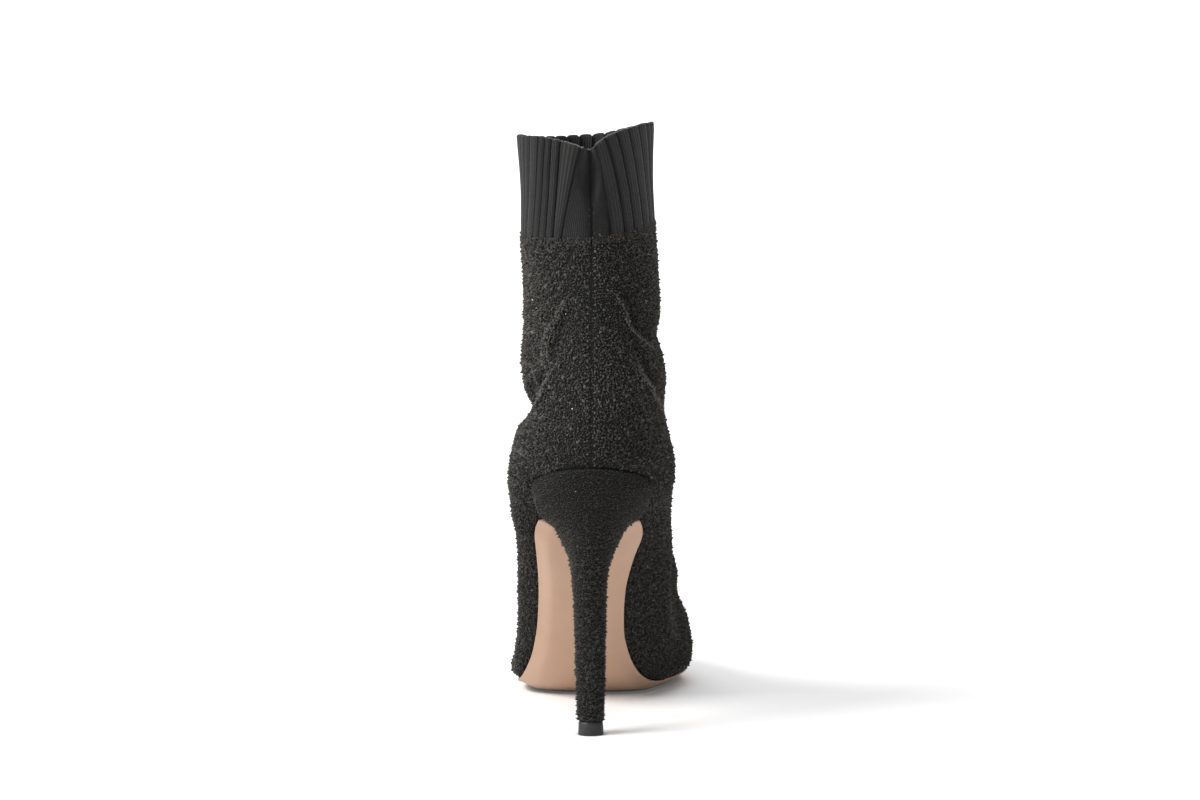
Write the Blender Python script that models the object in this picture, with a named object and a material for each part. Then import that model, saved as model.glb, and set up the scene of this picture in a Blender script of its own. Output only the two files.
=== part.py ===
"""Knit ankle boot for the left foot, on a covered stiletto heel.

Metres, +Z up, +Y towards the toe and +X towards the inner side of the foot (medial).
The origin is on the floor, under the middle of the boot's box.

The knit upper is one surface: a row of closed sections that start upright at the toe, tip back
through the instep and lie level at the collar. Sole, insole, heel and cuff are worked out from it.
"""

import math
from collections import namedtuple

import bmesh
import bpy
import numpy as np
from mathutils import Vector
from mathutils.bvhtree import BVHTree

MM = 0.001

# Driving dimensions: a European size 38 last with a 105 mm heel
LENGTH = 228 * MM  # back of the counter to the toe tip
BALL_WIDTH = 74 * MM
HEEL_HEIGHT = 107.5 * MM  # floor to the heel's rim at the back
INSTEP_HEIGHT = 150 * MM  # floor to where the instep turns into the shaft
BOX_MIDDLE_X = 2.1 * MM  # middle of the boot's box, from the middle of the heel tip

UPPER_WALL = 2.2 * MM  # boucle knit and its lining
CUFF_WALL = 1.8 * MM  # double rib knit
GAP = 0.3 * MM  # between pieces that meet
OUTSOLE_THICKNESS = 2.6 * MM
INSOLE_THICKNESS = 2.0 * MM
LASTING_MARGIN = 6 * MM  # how far the upper turns in under the sole's edge
MOST_MARGIN = 0.3  # the margin against the sole's width, where the sole is narrow

# Columns of the sections, as shares of 100. low is the sole or back line, high the instep or front line.
# low_y, high_y of LENGTH; low_z of HEEL_HEIGHT; high_z of INSTEP_HEIGHT;
# keel, ridge (x of low and high), medial, lateral (reach to each side) of BALL_WIDTH;
# widest: how far up the section it is widest; low_power, high_power: roundness, 2 is an ellipse;
# neck: how much the flanks draw in above the widest place.
Section = namedtuple(
    "Section", "low_y low_z high_y high_z keel ridge medial lateral widest low_power high_power neck"
)
SECTIONS = (
    Section(99.7, 7.6, 100.0, 9.0, 14, 14, 18, -10, 45, 2.4, 2.0, 0),  # toe tip
    Section(97.4, 6.1, 97.1, 15.0, 13, 13, 23, -3, 36, 3.2, 2.0, 0),
    Section(93.0, 4.4, 92.3, 20.0, 12, 13, 31, 6, 30, 4.6, 2.0, 0),
    Section(86.8, 3.1, 85.7, 25.5, 11, 12, 39.5, 18, 26, 5.2, 2.0, 1),  # toes
    Section(79.0, 2.4, 77.4, 32.0, 8, 11, 47.5, 33, 23, 5.0, 2.0, 3),
    Section(70.2, 2.4, 68.6, 40.5, 5, 9.5, 52.8, 42.5, 20, 4.4, 2.0, 5),  # ball
    Section(62.3, 2.4, 61.8, 50.5, 1.5, 8, 50.4, 45.7, 19, 3.8, 2.0, 7),
    Section(55.3, 3.4, 57.2, 60.5, -3, 6, 45.0, 44.8, 20, 3.3, 2.0, 10),
    Section(48.2, 12.6, 53.3, 71.0, -5.5, 4, 41.6, 43, 22, 3.1, 2.0, 13),  # waist
    Section(40.4, 31.2, 50.0, 81.5, -7, 3, 41.0, 42.2, 25, 3.0, 2.0, 15),
    Section(31.8, 52.8, 47.4, 91.5, -5.5, 1.5, 40.8, 42.2, 25, 3.0, 2.0, 17),
    Section(22.8, 73.4, 45.2, 99.5, -3, 1, 41, 44.3, 22, 3.4, 2.0, 18),  # instep
    Section(15.2, 84.4, 43.6, 105.7, -1.5, 0, 43.0, 45.3, 22, 3.8, 2.0, 16),
    Section(8.3, 92.6, 42.5, 110.0, -1.5, 0, 40.6, 41.6, 27, 3.2, 2.0, 14),  # heel seat
    Section(3.1, 97.4, 41.8, 113.7, -1, 0, 38.2, 37.8, 34, 2.6, 2.0, 12),
    Section(0.9, 100.4, 41.2, 116.7, -0.5, 0, 37.8, 36.8, 40, 2.25, 2.0, 10),
    Section(0.1, 108.0, 40.9, 119.4, 0, 0, 37.6, 36.9, 43, 2.1, 2.0, 8),  # counter
    Section(0.2, 122.5, 40.6, 122.8, 0, 0, 36.6, 37.2, 46, 2.0, 2.0, 6),
    Section(1.5, 140.5, 40.4, 126.0, -0.5, -0.5, 35.7, 37.2, 48, 2.0, 2.0, 4),  # ankle
    Section(3.3, 161.0, 40.1, 128.8, -1, -1.5, 34.5, 37.8, 50, 2.0, 2.0, 2),
    Section(4.2, 182.8, 39.9, 131.7, -2, -3, 33.2, 39, 50, 2.1, 2.1, 0),  # top of the shaft
    Section(3.5, 200.5, 39.7, 143.6, -2.5, -3.5, 32.0, 39.2, 50, 2.1, 2.1, 0),  # cuff
    Section(2.4, 217.4, 39.5, 155.0, -3, -4, 32.5, 41.2, 50, 2.1, 2.1, 0),  # rim
)
COUNTER = 16  # index of the section round the back of the heel
SHAFT_TOP = 20  # index of the section where the cuff is joined on
RIM = len(SECTIONS) - 1
ROLL = 0.075  # rise of the shaft's top towards the medial side, per unit of x

# Sole outline, from the heel seat to the toe, as shares of 100 of LENGTH and BALL_WIDTH
Outline = namedtuple("Outline", "along medial lateral")
SOLE_OUTLINE = (
    Outline(5.0, 12, 12.5),
    Outline(9.0, 20, 21),
    Outline(15.0, 23, 26),
    Outline(22.6, 23.5, 28.5),  # heel breast, with the sole's corners rounded off
    Outline(25.0, 25.7, 31.4),
    Outline(29.4, 20.9, 30.9),
    Outline(34.2, 16.8, 30.3),  # waist
    Outline(40.0, 15.5, 31.2),
    Outline(44.0, 16.7, 33.0),
    Outline(51.0, 24.0, 37.4),
    Outline(57.0, 33.5, 40.6),
    Outline(65.0, 45.0, 42.0),
    Outline(72.0, 49.6, 38.0),  # ball
    Outline(79.0, 45.0, 29.8),
    Outline(86.8, 37.0, 15.5),
    Outline(93.0, 28.5, 3.8),
    Outline(97.4, 20.5, -5.5),
    Outline(99.7, 16.2, -11.8),  # toe
)
OPENING_ROWS = (2, 13.5)  # sections between which the upper is open underneath
OUTSOLE_ROWS = (0.5, 11)  # sections that the outsole runs between, toe to heel
SOLE_CORNERS = (0, 0, 6, 26, 48, 38)  # how far its corners reach past that, percent of a row, by column
INSOLE_ROWS = (2, 14)

# Heel sections from the tip to the rim, in millimetres: back and front edge in the side view, half the
# width, how far forward it is widest (share of 100), and the roundness of back and front
HeelSection = namedtuple("HeelSection", "back_y back_z front_y front_z half widest back_power front_power")
HEEL_SECTIONS = (
    HeelSection(17.5, 5.8, 27.5, 5.8, 4.8, 50, 2.2, 2.8),
    HeelSection(17.3, 20, 28.4, 20, 5.3, 50, 2.2, 2.8),
    HeelSection(16.5, 40, 30.2, 38.5, 5.7, 50, 2.2, 2.8),
    HeelSection(15.0, 58, 33.0, 53, 6.4, 50, 2.2, 2.8),
    HeelSection(12.5, 74, 36.8, 63, 8.0, 52, 2.2, 2.8),
    HeelSection(9.5, 86, 41.0, 69.5, 11.2, 56, 2.2, 2.8),
    HeelSection(6.6, 95, 45.5, 74.5, 16.0, 60, 2.2, 2.6),
    HeelSection(4.2, 102, 49.5, 78.0, 21.0, 50, 2.2, 2.1),
)
HEEL_RIM = HeelSection(2.8, 107.5, 50.8, 80.5, 24.0, 52, 2.05, 2.0)
HEEL_RIM_GAP = 0.8 * MM
HEEL_CUP_GAP = 0.9 * MM  # room for the facets inside the rim
HEEL_CUP_RINGS = (0.92, 0.75, 0.55, 0.3)  # sizes of the rings across the cup, against its rim
TOP_LIFT_HEIGHT = 5.5 * MM
TOP_LIFT_FLARE = 1.06  # floor face against the face under the heel

# The rim of the cuff rises at the sides, most of all at the medial one, and folds in at the back seam
RIM_ROLL = 0.055  # more rise towards the medial side at the rim, per unit of x
RIM_BOW = 6.5  # rise of the rim's sides above its front and back, times x squared
RIM_BACK_RISE = 2.8 * MM  # rise of the rim's back half, beside the fold
NOTCH_DEPTH = 7 * MM
NOTCH_WIDTH = 8 * MM
NOTCH_DROP = 4 * MM

# Facets: columns on each side of the keel, as far as the opening's edge, the sole's edge and the ridge
OPENING_COLUMNS = 3
MARGIN_COLUMNS = 2
WALL_COLUMNS = 15
HALF_COLUMNS = OPENING_COLUMNS + MARGIN_COLUMNS + WALL_COLUMNS
ROWS_PER_SECTION = 2
CUFF_ROWS = 6
HEEL_ROWS = 18
HEEL_COLUMNS = 44
OUTLINE_SAMPLES = 160  # points read along each half section before it is cut into columns
UNDERFOOT_SAMPLES = 28  # sections at which the sole's edge is looked up
SETTLE_ROWS = 4  # sections behind the seat over which the columns become even
SHARP_ANGLE = math.radians(40)
TINY = 1e-6

BOUCLE_BLACK = (0.012, 0.012, 0.012)
RIB_BLACK = (0.016, 0.015, 0.016)
NUDE_LEATHER = (0.56, 0.37, 0.27)
RUBBER_GREY = (0.035, 0.035, 0.037)


def smooth_rows(table, at):
    """Rows of a table read at fractional indices, on a smooth curve through its own rows."""
    values = np.array(table, float)
    last = len(values) - 1
    at = np.clip(np.atleast_1d(np.asarray(at, float)), 0, last)
    start = np.minimum(at.astype(int), last - 1)
    share = (at - start)[:, None]
    tangents = np.gradient(values, axis=0)
    return (
        (2 * share**3 - 3 * share**2 + 1) * values[start]
        + (share**3 - 2 * share**2 + share) * tangents[start]
        + (3 * share**2 - 2 * share**3) * values[start + 1]
        + (share**3 - share**2) * tangents[start + 1]
    )


def smooth_at(table, column, where):
    """Columns of a table read where its given column has a value, on the same kind of curve."""
    keys = np.array([getattr(row, column) for row in table], float)
    return smooth_rows(table, np.interp(where, keys, np.arange(len(keys))))


def half_section(widest, low_power, high_power, neck=0):
    """Half of a section: how far up and how far out, from its low point to its high point."""
    turn = np.linspace(0, math.pi, OUTLINE_SAMPLES)
    below = turn <= math.pi / 2
    power = np.where(below, low_power, high_power)
    out = np.sin(turn) ** (2 / power)
    lift = np.abs(np.cos(turn)) ** (2 / power)
    up = np.where(below, widest * (1 - lift), widest + (1 - widest) * lift)
    out = np.where(below, out, out * (1 - neck * np.sin(math.pi * lift)))
    return up, out


def section_at(row):
    """A section's two halves, medial then lateral, as dense lines of points from keel to ridge."""
    low_y, low_z, high_y, high_z, keel, ridge, medial, lateral, widest, low_power, high_power, neck = row
    widest = widest / 100
    up, out = half_section(widest, low_power, high_power, neck / 100)
    y = (low_y + (high_y - low_y) * up) / 100 * LENGTH
    z_low = low_z / 100 * HEEL_HEIGHT
    z_high = high_z / 100 * INSTEP_HEIGHT
    z = z_low + (z_high - z_low) * up
    middle = keel + (ridge - keel) * up
    middle_widest = keel + (ridge - keel) * widest
    halves = []
    for reach in (medial - middle_widest, -lateral - middle_widest):
        x = (middle + reach * out) / 100 * BALL_WIDTH
        halves.append(np.column_stack([x, y, z]))
    return halves


def run_of(points):
    """Distance along a line of points."""
    steps = np.linalg.norm(np.diff(points, axis=0), axis=1)
    return np.concatenate([[0], np.cumsum(steps)])


def share_at(half, edge_x):
    """Share of a half section's length, from the keel, at which its underside passes an edge."""
    run = run_of(half)
    out = np.abs(half[:, 0] - half[0, 0])
    under = out[: int(out.argmax()) + 1]
    return float(np.interp(abs(edge_x - half[0, 0]), under, run[: len(under)]) / run[-1])


def column_shares(indices):
    """For each row and half, the shares of its length at the opening's edge and at the sole's edge."""
    first, last = OUTSOLE_ROWS[0], OPENING_ROWS[1]
    under_foot = np.linspace(first, last, UNDERFOOT_SAMPLES)
    shares = []
    for row in smooth_rows(SECTIONS, under_foot):
        _, medial, lateral = smooth_at(SOLE_OUTLINE, "along", row[0])[0] / 100 * BALL_WIDTH
        margin = min(LASTING_MARGIN, MOST_MARGIN * (medial + lateral))
        at_row = []
        for half, edge, inwards in zip(section_at(row), (medial, -lateral), (-1, 1)):
            at_row += [share_at(half, edge + inwards * margin), share_at(half, edge)]
        shares.append(at_row)
    even = [OPENING_COLUMNS / HALF_COLUMNS, (OPENING_COLUMNS + MARGIN_COLUMNS) / HALF_COLUMNS] * 2
    keys = np.concatenate([[0], under_foot, [last + SETTLE_ROWS, RIM]])
    held = np.vstack([shares[0], shares, even, even])
    return np.column_stack([np.interp(indices, keys, held[:, k]) for k in range(4)])


def lattice(indices):
    """Points of the upper's outer surface: a closed row for each section index.

    Column 0 is the keel; columns go up the medial side to the ridge and down the lateral side.
    """
    rows = []
    for row, shares in zip(smooth_rows(SECTIONS, indices), column_shares(indices)):
        halves = []
        for half, (opening, edge) in zip(section_at(row), (shares[:2], shares[2:])):
            marks = np.concatenate(
                [
                    np.linspace(0, opening, OPENING_COLUMNS, endpoint=False),
                    np.linspace(opening, edge, MARGIN_COLUMNS, endpoint=False),
                    np.linspace(edge, 1, WALL_COLUMNS + 1),
                ]
            )
            run = run_of(half)
            halves.append(np.column_stack([np.interp(marks * run[-1], run, half[:, k]) for k in range(3)]))
        medial, lateral = halves
        rows.append(np.vstack([medial, lateral[-2:0:-1]]))
    points = np.array(rows)
    rolled = np.clip((np.asarray(indices) - COUNTER) / (SHAFT_TOP - COUNTER), 0, 1)
    points[:, :, 2] += ROLL * points[:, :, 0] * (rolled**2 * (3 - 2 * rolled))[:, None]
    return points


def outward_normals(points):
    """Unit normals of a lattice whose rows are closed."""
    along = np.gradient(points, axis=0)
    around = np.roll(points, -1, axis=1) - np.roll(points, 1, axis=1)
    normal = np.cross(around, along)
    return normal / np.linalg.norm(normal, axis=2, keepdims=True)


def surface_tree(points):
    """A tree for finding where a straight line meets a lattice."""
    rows, columns, _ = points.shape
    faces = []
    for start in range(0, (rows - 1) * columns, columns):
        for j in range(columns):
            after = (j + 1) % columns
            faces.append((start + j, start + after, start + columns + after, start + columns + j))
    return BVHTree.FromPolygons([Vector(p) for p in points.reshape(-1, 3)], faces)


def new_object(name, mesh_builder, material, parent):
    """A named object with the shape that mesh_builder makes, shaded smooth with its sharp edges kept."""
    shape = bmesh.new()
    mesh_builder(shape)
    bmesh.ops.recalc_face_normals(shape, faces=shape.faces)
    mesh = bpy.data.meshes.new(name)
    shape.to_mesh(mesh)
    shape.free()
    mesh.shade_smooth()
    mesh.set_sharp_from_angle(angle=SHARP_ANGLE)
    mesh.materials.append(material)
    made = bpy.data.objects.new(name, mesh)
    made.parent = parent
    bpy.context.scene.collection.objects.link(made)
    return made


def new_material(name, colour, roughness):
    material = bpy.data.materials.new(name)
    material.use_nodes = True
    shader = material.node_tree.nodes["Principled BSDF"]
    shader.inputs["Base Color"].default_value = (*colour, 1)
    shader.inputs["Roughness"].default_value = roughness
    shader.inputs["Metallic"].default_value = 0
    return material


def add_grid(shape, points, closed, keep=lambda row, column: True):
    """Adds a lattice to a bmesh as quads. Returns its vertices by row and column."""
    verts = [[shape.verts.new(p) for p in row] for row in points]
    columns = len(verts[0])
    for i in range(len(verts) - 1):
        for j in range(columns if closed else columns - 1):
            if keep(i, j):
                after = (j + 1) % columns
                shape.faces.new((verts[i][j], verts[i][after], verts[i + 1][after], verts[i + 1][j]))
    return verts


def solidify(made, thickness):
    """Gives a surface its wall, inwards from the outer face."""
    wall = made.modifiers.new("wall", "SOLIDIFY")
    wall.thickness = thickness
    wall.offset = -1
    wall.use_even_offset = True
    wall.use_quality_normals = True


def in_rows(index, limits):
    return limits[0] - TINY <= index <= limits[1] + TINY


def under_columns(reach):
    """Columns under the foot, from the lateral side to the medial, as far as a number from the keel."""
    return np.arange(-reach, reach + 1) % (2 * HALF_COLUMNS)


def add_upper(indices, points, material, parent):
    """The knit foot and shaft: open at the top and, inside the lasting margin, underneath."""

    def closed_here(row, column):
        open_rows = in_rows(indices[row], OPENING_ROWS) and in_rows(indices[row + 1], OPENING_ROWS)
        from_keel = min(column, 2 * HALF_COLUMNS - 1 - column)
        return not (open_rows and from_keel < OPENING_COLUMNS)

    def build(shape):
        verts = add_grid(shape, points, True, closed_here)
        tip = shape.verts.new(np.mean([v.co for v in verts[0]], axis=0))
        for j, vert in enumerate(verts[0]):
            shape.faces.new((tip, verts[0][(j + 1) % len(verts[0])], vert))
        loose = [v for v in shape.verts if not v.link_faces]
        bmesh.ops.delete(shape, geom=loose, context="VERTS")

    solidify(new_object("upper", build, material, parent), UPPER_WALL)


def cuff_points():
    """The cuff's outer surface, with its rim folded in at the back seam."""
    points = lattice(np.linspace(SHAFT_TOP, RIM, CUFF_ROWS + 1))
    rise = np.linspace(0, 1, CUFF_ROWS + 1)[:, None]
    across = points[:, :, 0]
    depth = points[:, :, 1].mean(axis=1, keepdims=True) - points[:, :, 1]
    backwards = np.maximum(depth, 0) / depth.max(axis=1, keepdims=True)
    fold = (backwards > 0) * np.exp(-(((across - across[:, :1]) / NOTCH_WIDTH) ** 2))
    points[:, :, 1] += NOTCH_DEPTH * fold * rise**1.5
    points[:, :, 2] += (RIM_ROLL * across + RIM_BOW * across**2 + RIM_BACK_RISE * backwards) * rise
    points[:, :, 2] -= NOTCH_DROP * fold * rise**2
    points[:, :, 2] += GAP * (1 - rise)
    return points


def add_cuff(material, parent):
    points = cuff_points()
    made = new_object("rib_cuff", lambda shape: add_grid(shape, points, True), material, parent)
    solidify(made, CUFF_WALL)


def add_plate(name, top, bottom, material, parent):
    """A closed plate between two grids of the same rows and columns."""

    def build(shape):
        upper_face = add_grid(shape, top, False)
        lower_face = add_grid(shape, bottom, False)
        border = [(i, 0) for i in range(len(top))]
        border += [(len(top) - 1, j) for j in range(1, len(top[0]))]
        border += [(i, len(top[0]) - 1) for i in range(len(top) - 2, -1, -1)]
        border += [(0, j) for j in range(len(top[0]) - 2, 0, -1)]
        for here, after in zip(border, border[1:] + border[:1]):
            shape.faces.new(
                (
                    upper_face[here[0]][here[1]],
                    upper_face[after[0]][after[1]],
                    lower_face[after[0]][after[1]],
                    lower_face[here[0]][here[1]],
                )
            )

    return new_object(name, build, material, parent)


def add_outsole(indices, points, normals, material, parent):
    """The leather sole, on the upper's underside from the heel to the toe, flat where it treads."""
    rows = [i for i, index in enumerate(indices) if in_rows(index, OUTSOLE_ROWS)]
    columns = under_columns(OPENING_COLUMNS + MARGIN_COLUMNS)
    under = np.ix_(rows, columns)
    behind = np.ix_([rows[-1] + 1], columns)
    corners = np.array(SOLE_CORNERS[:0:-1] + SOLE_CORNERS)[:, None] / 100
    lying, facing = points[under], normals[under]
    lying[-1] += (points[behind][0] - lying[-1]) * corners
    facing[-1] += (normals[behind][0] - facing[-1]) * corners
    top = lying + facing * GAP
    tread = lying + facing * (GAP + OUTSOLE_THICKNESS)
    tread[:, :, 2] = np.maximum(tread[:, :, 2], 0)
    add_plate("outsole", top, tread, material, parent)


def add_insole(indices, points, normals, material, parent):
    """The insole inside, thicker in its middle, which fills the opening between the turned-in edges."""
    rows = [i for i, index in enumerate(indices) if in_rows(index, INSOLE_ROWS)]
    under = np.ix_(rows, under_columns(OPENING_COLUMNS + MARGIN_COLUMNS))
    low = points[under] - normals[under] * (UPPER_WALL + GAP)
    top = points[under] - normals[under] * (UPPER_WALL + GAP + INSOLE_THICKNESS)
    first, last = OPENING_ROWS
    in_opening = [k for k, row in enumerate(rows) if first + TINY < indices[row] < last - TINY]
    fill = np.ix_(in_opening, np.arange(MARGIN_COLUMNS + 1, low.shape[1] - MARGIN_COLUMNS - 1))
    low[fill] = points[under][fill]
    add_plate("insole", top, low, material, parent)


def heel_ring(row):
    """A closed heel section, from its back point up one side to the front and down the other."""
    back_y, back_z, front_y, front_z, half, widest, back_power, front_power = row
    up, out = half_section(widest / 100, back_power, front_power)
    line = np.column_stack([half * out, back_y + (front_y - back_y) * up, back_z + (front_z - back_z) * up])
    run = run_of(line)
    marks = np.linspace(0, run[-1], HEEL_COLUMNS // 2 + 1)
    side = np.column_stack([np.interp(marks, run, line[:, k]) for k in range(3)]) * MM
    other = side[-2:0:-1] * np.array([-1, 1, 1])
    return np.vstack([side, other])


def add_heel(tree, material, parent):
    """The covered heel: a stem that flares into a cup under the seat."""
    rows = np.linspace(0, len(HEEL_SECTIONS) - 1, HEEL_ROWS)
    rings = [heel_ring(row) for row in smooth_rows(HEEL_SECTIONS, rows)]
    rim = heel_ring(HEEL_RIM)
    middle = rim.mean(axis=0)

    def seated(point, clearance):
        place, normal, _, _ = tree.ray_cast(Vector((point[0], point[1], -1)), Vector((0, 0, 1)))
        down = normal if normal.z < 0 else -normal
        return np.array(place + down * clearance)

    rings.append(np.array([seated(p, HEEL_RIM_GAP) for p in rim]))
    for share in HEEL_CUP_RINGS:
        rings.append(np.array([seated(middle + (p - middle) * share, HEEL_CUP_GAP) for p in rim]))

    def build(shape):
        verts = add_grid(shape, rings, True)
        shape.faces.new(verts[0])
        centre = shape.verts.new(seated(middle, HEEL_CUP_GAP))
        for j, vert in enumerate(verts[-1]):
            shape.faces.new((vert, verts[-1][(j + 1) % len(rim)], centre))

    new_object("heel", build, material, parent)


def add_top_lift(material, parent):
    """The rubber tip under the heel, a little wider at the floor."""
    under_heel = heel_ring(HEEL_SECTIONS[0])
    middle = under_heel.mean(axis=0)
    upper_face = under_heel.copy()
    upper_face[:, 2] = TOP_LIFT_HEIGHT
    floor_face = middle + (under_heel - middle) * TOP_LIFT_FLARE
    floor_face[:, 2] = 0

    def build(shape):
        verts = add_grid(shape, [floor_face, upper_face], True)
        shape.faces.new(verts[0])
        shape.faces.new(verts[-1])

    new_object("top_lift", build, material, parent)


def main():
    for old in list(bpy.data.objects):
        bpy.data.objects.remove(old)
    boot = bpy.data.objects.new("boot", None)
    boot.location = (-BOX_MIDDLE_X, -LENGTH / 2, 0)
    bpy.context.scene.collection.objects.link(boot)

    boucle = new_material("boucle_knit", BOUCLE_BLACK, 0.95)
    heel_cover = new_material("heel_cover", BOUCLE_BLACK, 0.95)
    rib = new_material("rib_knit", RIB_BLACK, 0.9)
    leather = new_material("nude_leather", NUDE_LEATHER, 0.45)
    lining = new_material("lining", NUDE_LEATHER, 0.6)
    rubber = new_material("black_rubber", RUBBER_GREY, 0.5)

    indices = np.linspace(0, SHAFT_TOP, SHAFT_TOP * ROWS_PER_SECTION + 1)
    points = lattice(indices)
    normals = outward_normals(points)

    add_upper(indices, points, boucle, boot)
    add_cuff(rib, boot)
    add_outsole(indices, points, normals, leather, boot)
    add_insole(indices, points, normals, lining, boot)
    add_heel(surface_tree(points), heel_cover, boot)
    add_top_lift(rubber, boot)


main()
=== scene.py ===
"""Looks of the knit ankle boot: boucle knit, ribbed cuff, leather sole and covered heel.

Shapes are worked out in millimetres, from the middle of the heel tip (x), the back of the counter (y)
and the floor (z), and become metres in the frame when a mesh is made.
+Y points to the toe and +X to the inner side of the foot (medial).
"""

import math
from collections import namedtuple

import bpy
import numpy as np
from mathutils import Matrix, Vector, kdtree
from mathutils.bvhtree import BVHTree


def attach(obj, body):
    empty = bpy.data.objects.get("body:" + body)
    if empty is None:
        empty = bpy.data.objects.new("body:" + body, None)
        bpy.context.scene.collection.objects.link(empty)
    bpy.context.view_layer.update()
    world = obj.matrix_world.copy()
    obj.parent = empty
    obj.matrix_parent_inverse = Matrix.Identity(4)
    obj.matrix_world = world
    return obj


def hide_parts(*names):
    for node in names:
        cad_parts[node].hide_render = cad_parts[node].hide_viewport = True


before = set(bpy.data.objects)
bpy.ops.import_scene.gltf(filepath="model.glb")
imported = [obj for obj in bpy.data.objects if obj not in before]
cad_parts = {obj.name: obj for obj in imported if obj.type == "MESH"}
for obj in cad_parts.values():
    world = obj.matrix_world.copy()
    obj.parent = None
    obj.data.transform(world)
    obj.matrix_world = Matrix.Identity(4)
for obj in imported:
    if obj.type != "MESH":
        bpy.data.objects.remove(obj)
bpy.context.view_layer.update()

MM = 0.001
BODY = "root"
TINY = 1e-6


def rows_of(kind, *rows):
    """A table whose columns have names."""
    return tuple(kind(*row) for row in rows)


# Driving dimensions, as in the frame
LENGTH = 228
BALL_WIDTH = 74
HEEL_HEIGHT = 107.5
INSTEP_HEIGHT = 150
BOX_MIDDLE_X = 2.1
UPPER_WALL = 2.2
CUFF_WALL = 1.8
GAP = 0.3
OUTSOLE_THICKNESS = 2.6
INSOLE_THICKNESS = 2.0
LASTING_MARGIN = 6
MOST_MARGIN = 0.3

# Columns of the sections, as shares of 100. low is the sole or back line, high the instep or front line.
# low_y, high_y of LENGTH; low_z of HEEL_HEIGHT; high_z of INSTEP_HEIGHT;
# keel, ridge (x of low and high), medial, lateral (reach to each side) of BALL_WIDTH;
# widest: how far up the section it is widest; low_power, high_power: roundness, 2 is an ellipse;
# neck: how much the flanks draw in above the widest place.
Section = namedtuple(
    "Section", "low_y low_z high_y high_z keel ridge medial lateral widest low_power high_power neck"
)
SECTIONS = rows_of(
    Section,
    (99.7, 7.6, 100.0, 9.0, 14, 14, 18, -10, 45, 2.4, 2.0, 0),  # toe tip
    (97.4, 6.1, 97.1, 15.0, 13, 13, 23, -3, 36, 3.2, 2.0, 0),
    (93.0, 4.4, 92.3, 20.0, 12, 13, 31, 6, 30, 4.6, 2.0, 0),
    (86.8, 3.1, 85.7, 25.5, 11, 12, 39.5, 18, 26, 5.2, 2.0, 1),  # toes
    (79.0, 2.4, 77.4, 32.0, 8, 11, 47.5, 33, 23, 5.0, 2.0, 3),
    (70.2, 2.4, 68.6, 40.5, 5, 9.5, 52.8, 42.5, 20, 4.4, 2.0, 5),  # ball
    (62.3, 2.4, 61.8, 50.5, 1.5, 8, 50.4, 45.7, 19, 3.8, 2.0, 7),
    (55.3, 3.4, 57.2, 60.5, -3, 6, 45.0, 44.8, 20, 3.3, 2.0, 10),
    (48.2, 12.6, 53.3, 71.0, -5.5, 4, 41.6, 43, 22, 3.1, 2.0, 13),  # waist
    (40.4, 31.2, 50.0, 81.5, -7, 3, 41.0, 42.2, 25, 3.0, 2.0, 15),
    (31.8, 52.8, 47.4, 91.5, -5.5, 1.5, 40.8, 42.2, 25, 3.0, 2.0, 17),
    (22.8, 73.4, 45.2, 99.5, -3, 1, 41, 44.3, 22, 3.4, 2.0, 18),  # instep
    (15.2, 84.4, 43.6, 105.7, -1.5, 0, 43.0, 45.3, 22, 3.8, 2.0, 16),
    (8.3, 92.6, 42.5, 110.0, -1.5, 0, 40.6, 41.6, 27, 3.2, 2.0, 14),  # heel seat
    (3.1, 97.4, 41.8, 113.7, -1, 0, 38.2, 37.8, 34, 2.6, 2.0, 12),
    (0.9, 100.4, 41.2, 116.7, -0.5, 0, 37.8, 36.8, 40, 2.25, 2.0, 10),
    (0.1, 108.0, 40.9, 119.4, 0, 0, 37.6, 36.9, 43, 2.1, 2.0, 8),  # counter
    (0.2, 122.5, 40.6, 122.8, 0, 0, 36.6, 37.2, 46, 2.0, 2.0, 6),
    (1.5, 140.5, 40.4, 126.0, -0.5, -0.5, 35.7, 37.2, 48, 2.0, 2.0, 4),  # ankle
    (3.3, 161.0, 40.1, 128.8, -1, -1.5, 34.5, 37.8, 50, 2.0, 2.0, 2),
    (4.2, 182.8, 39.9, 131.7, -2, -3, 33.2, 39, 50, 2.1, 2.1, 0),  # top of the shaft
    (3.5, 200.5, 39.7, 143.6, -2.5, -3.5, 32.0, 39.2, 50, 2.1, 2.1, 0),  # cuff
    (2.4, 217.4, 39.5, 155.0, -3, -4, 32.5, 41.2, 50, 2.1, 2.1, 0),  # rim
)
SEAT = 13
COUNTER = 16
SHAFT_TOP = 20
RIM = len(SECTIONS) - 1
SHAFT_HEIGHT = SECTIONS[SHAFT_TOP].low_z / 100 * HEEL_HEIGHT
CUFF_HEIGHT = SECTIONS[RIM].low_z / 100 * HEEL_HEIGHT - SHAFT_HEIGHT
ROLL = 0.075  # rise of the shaft's top towards the medial side, per unit of x

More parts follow.
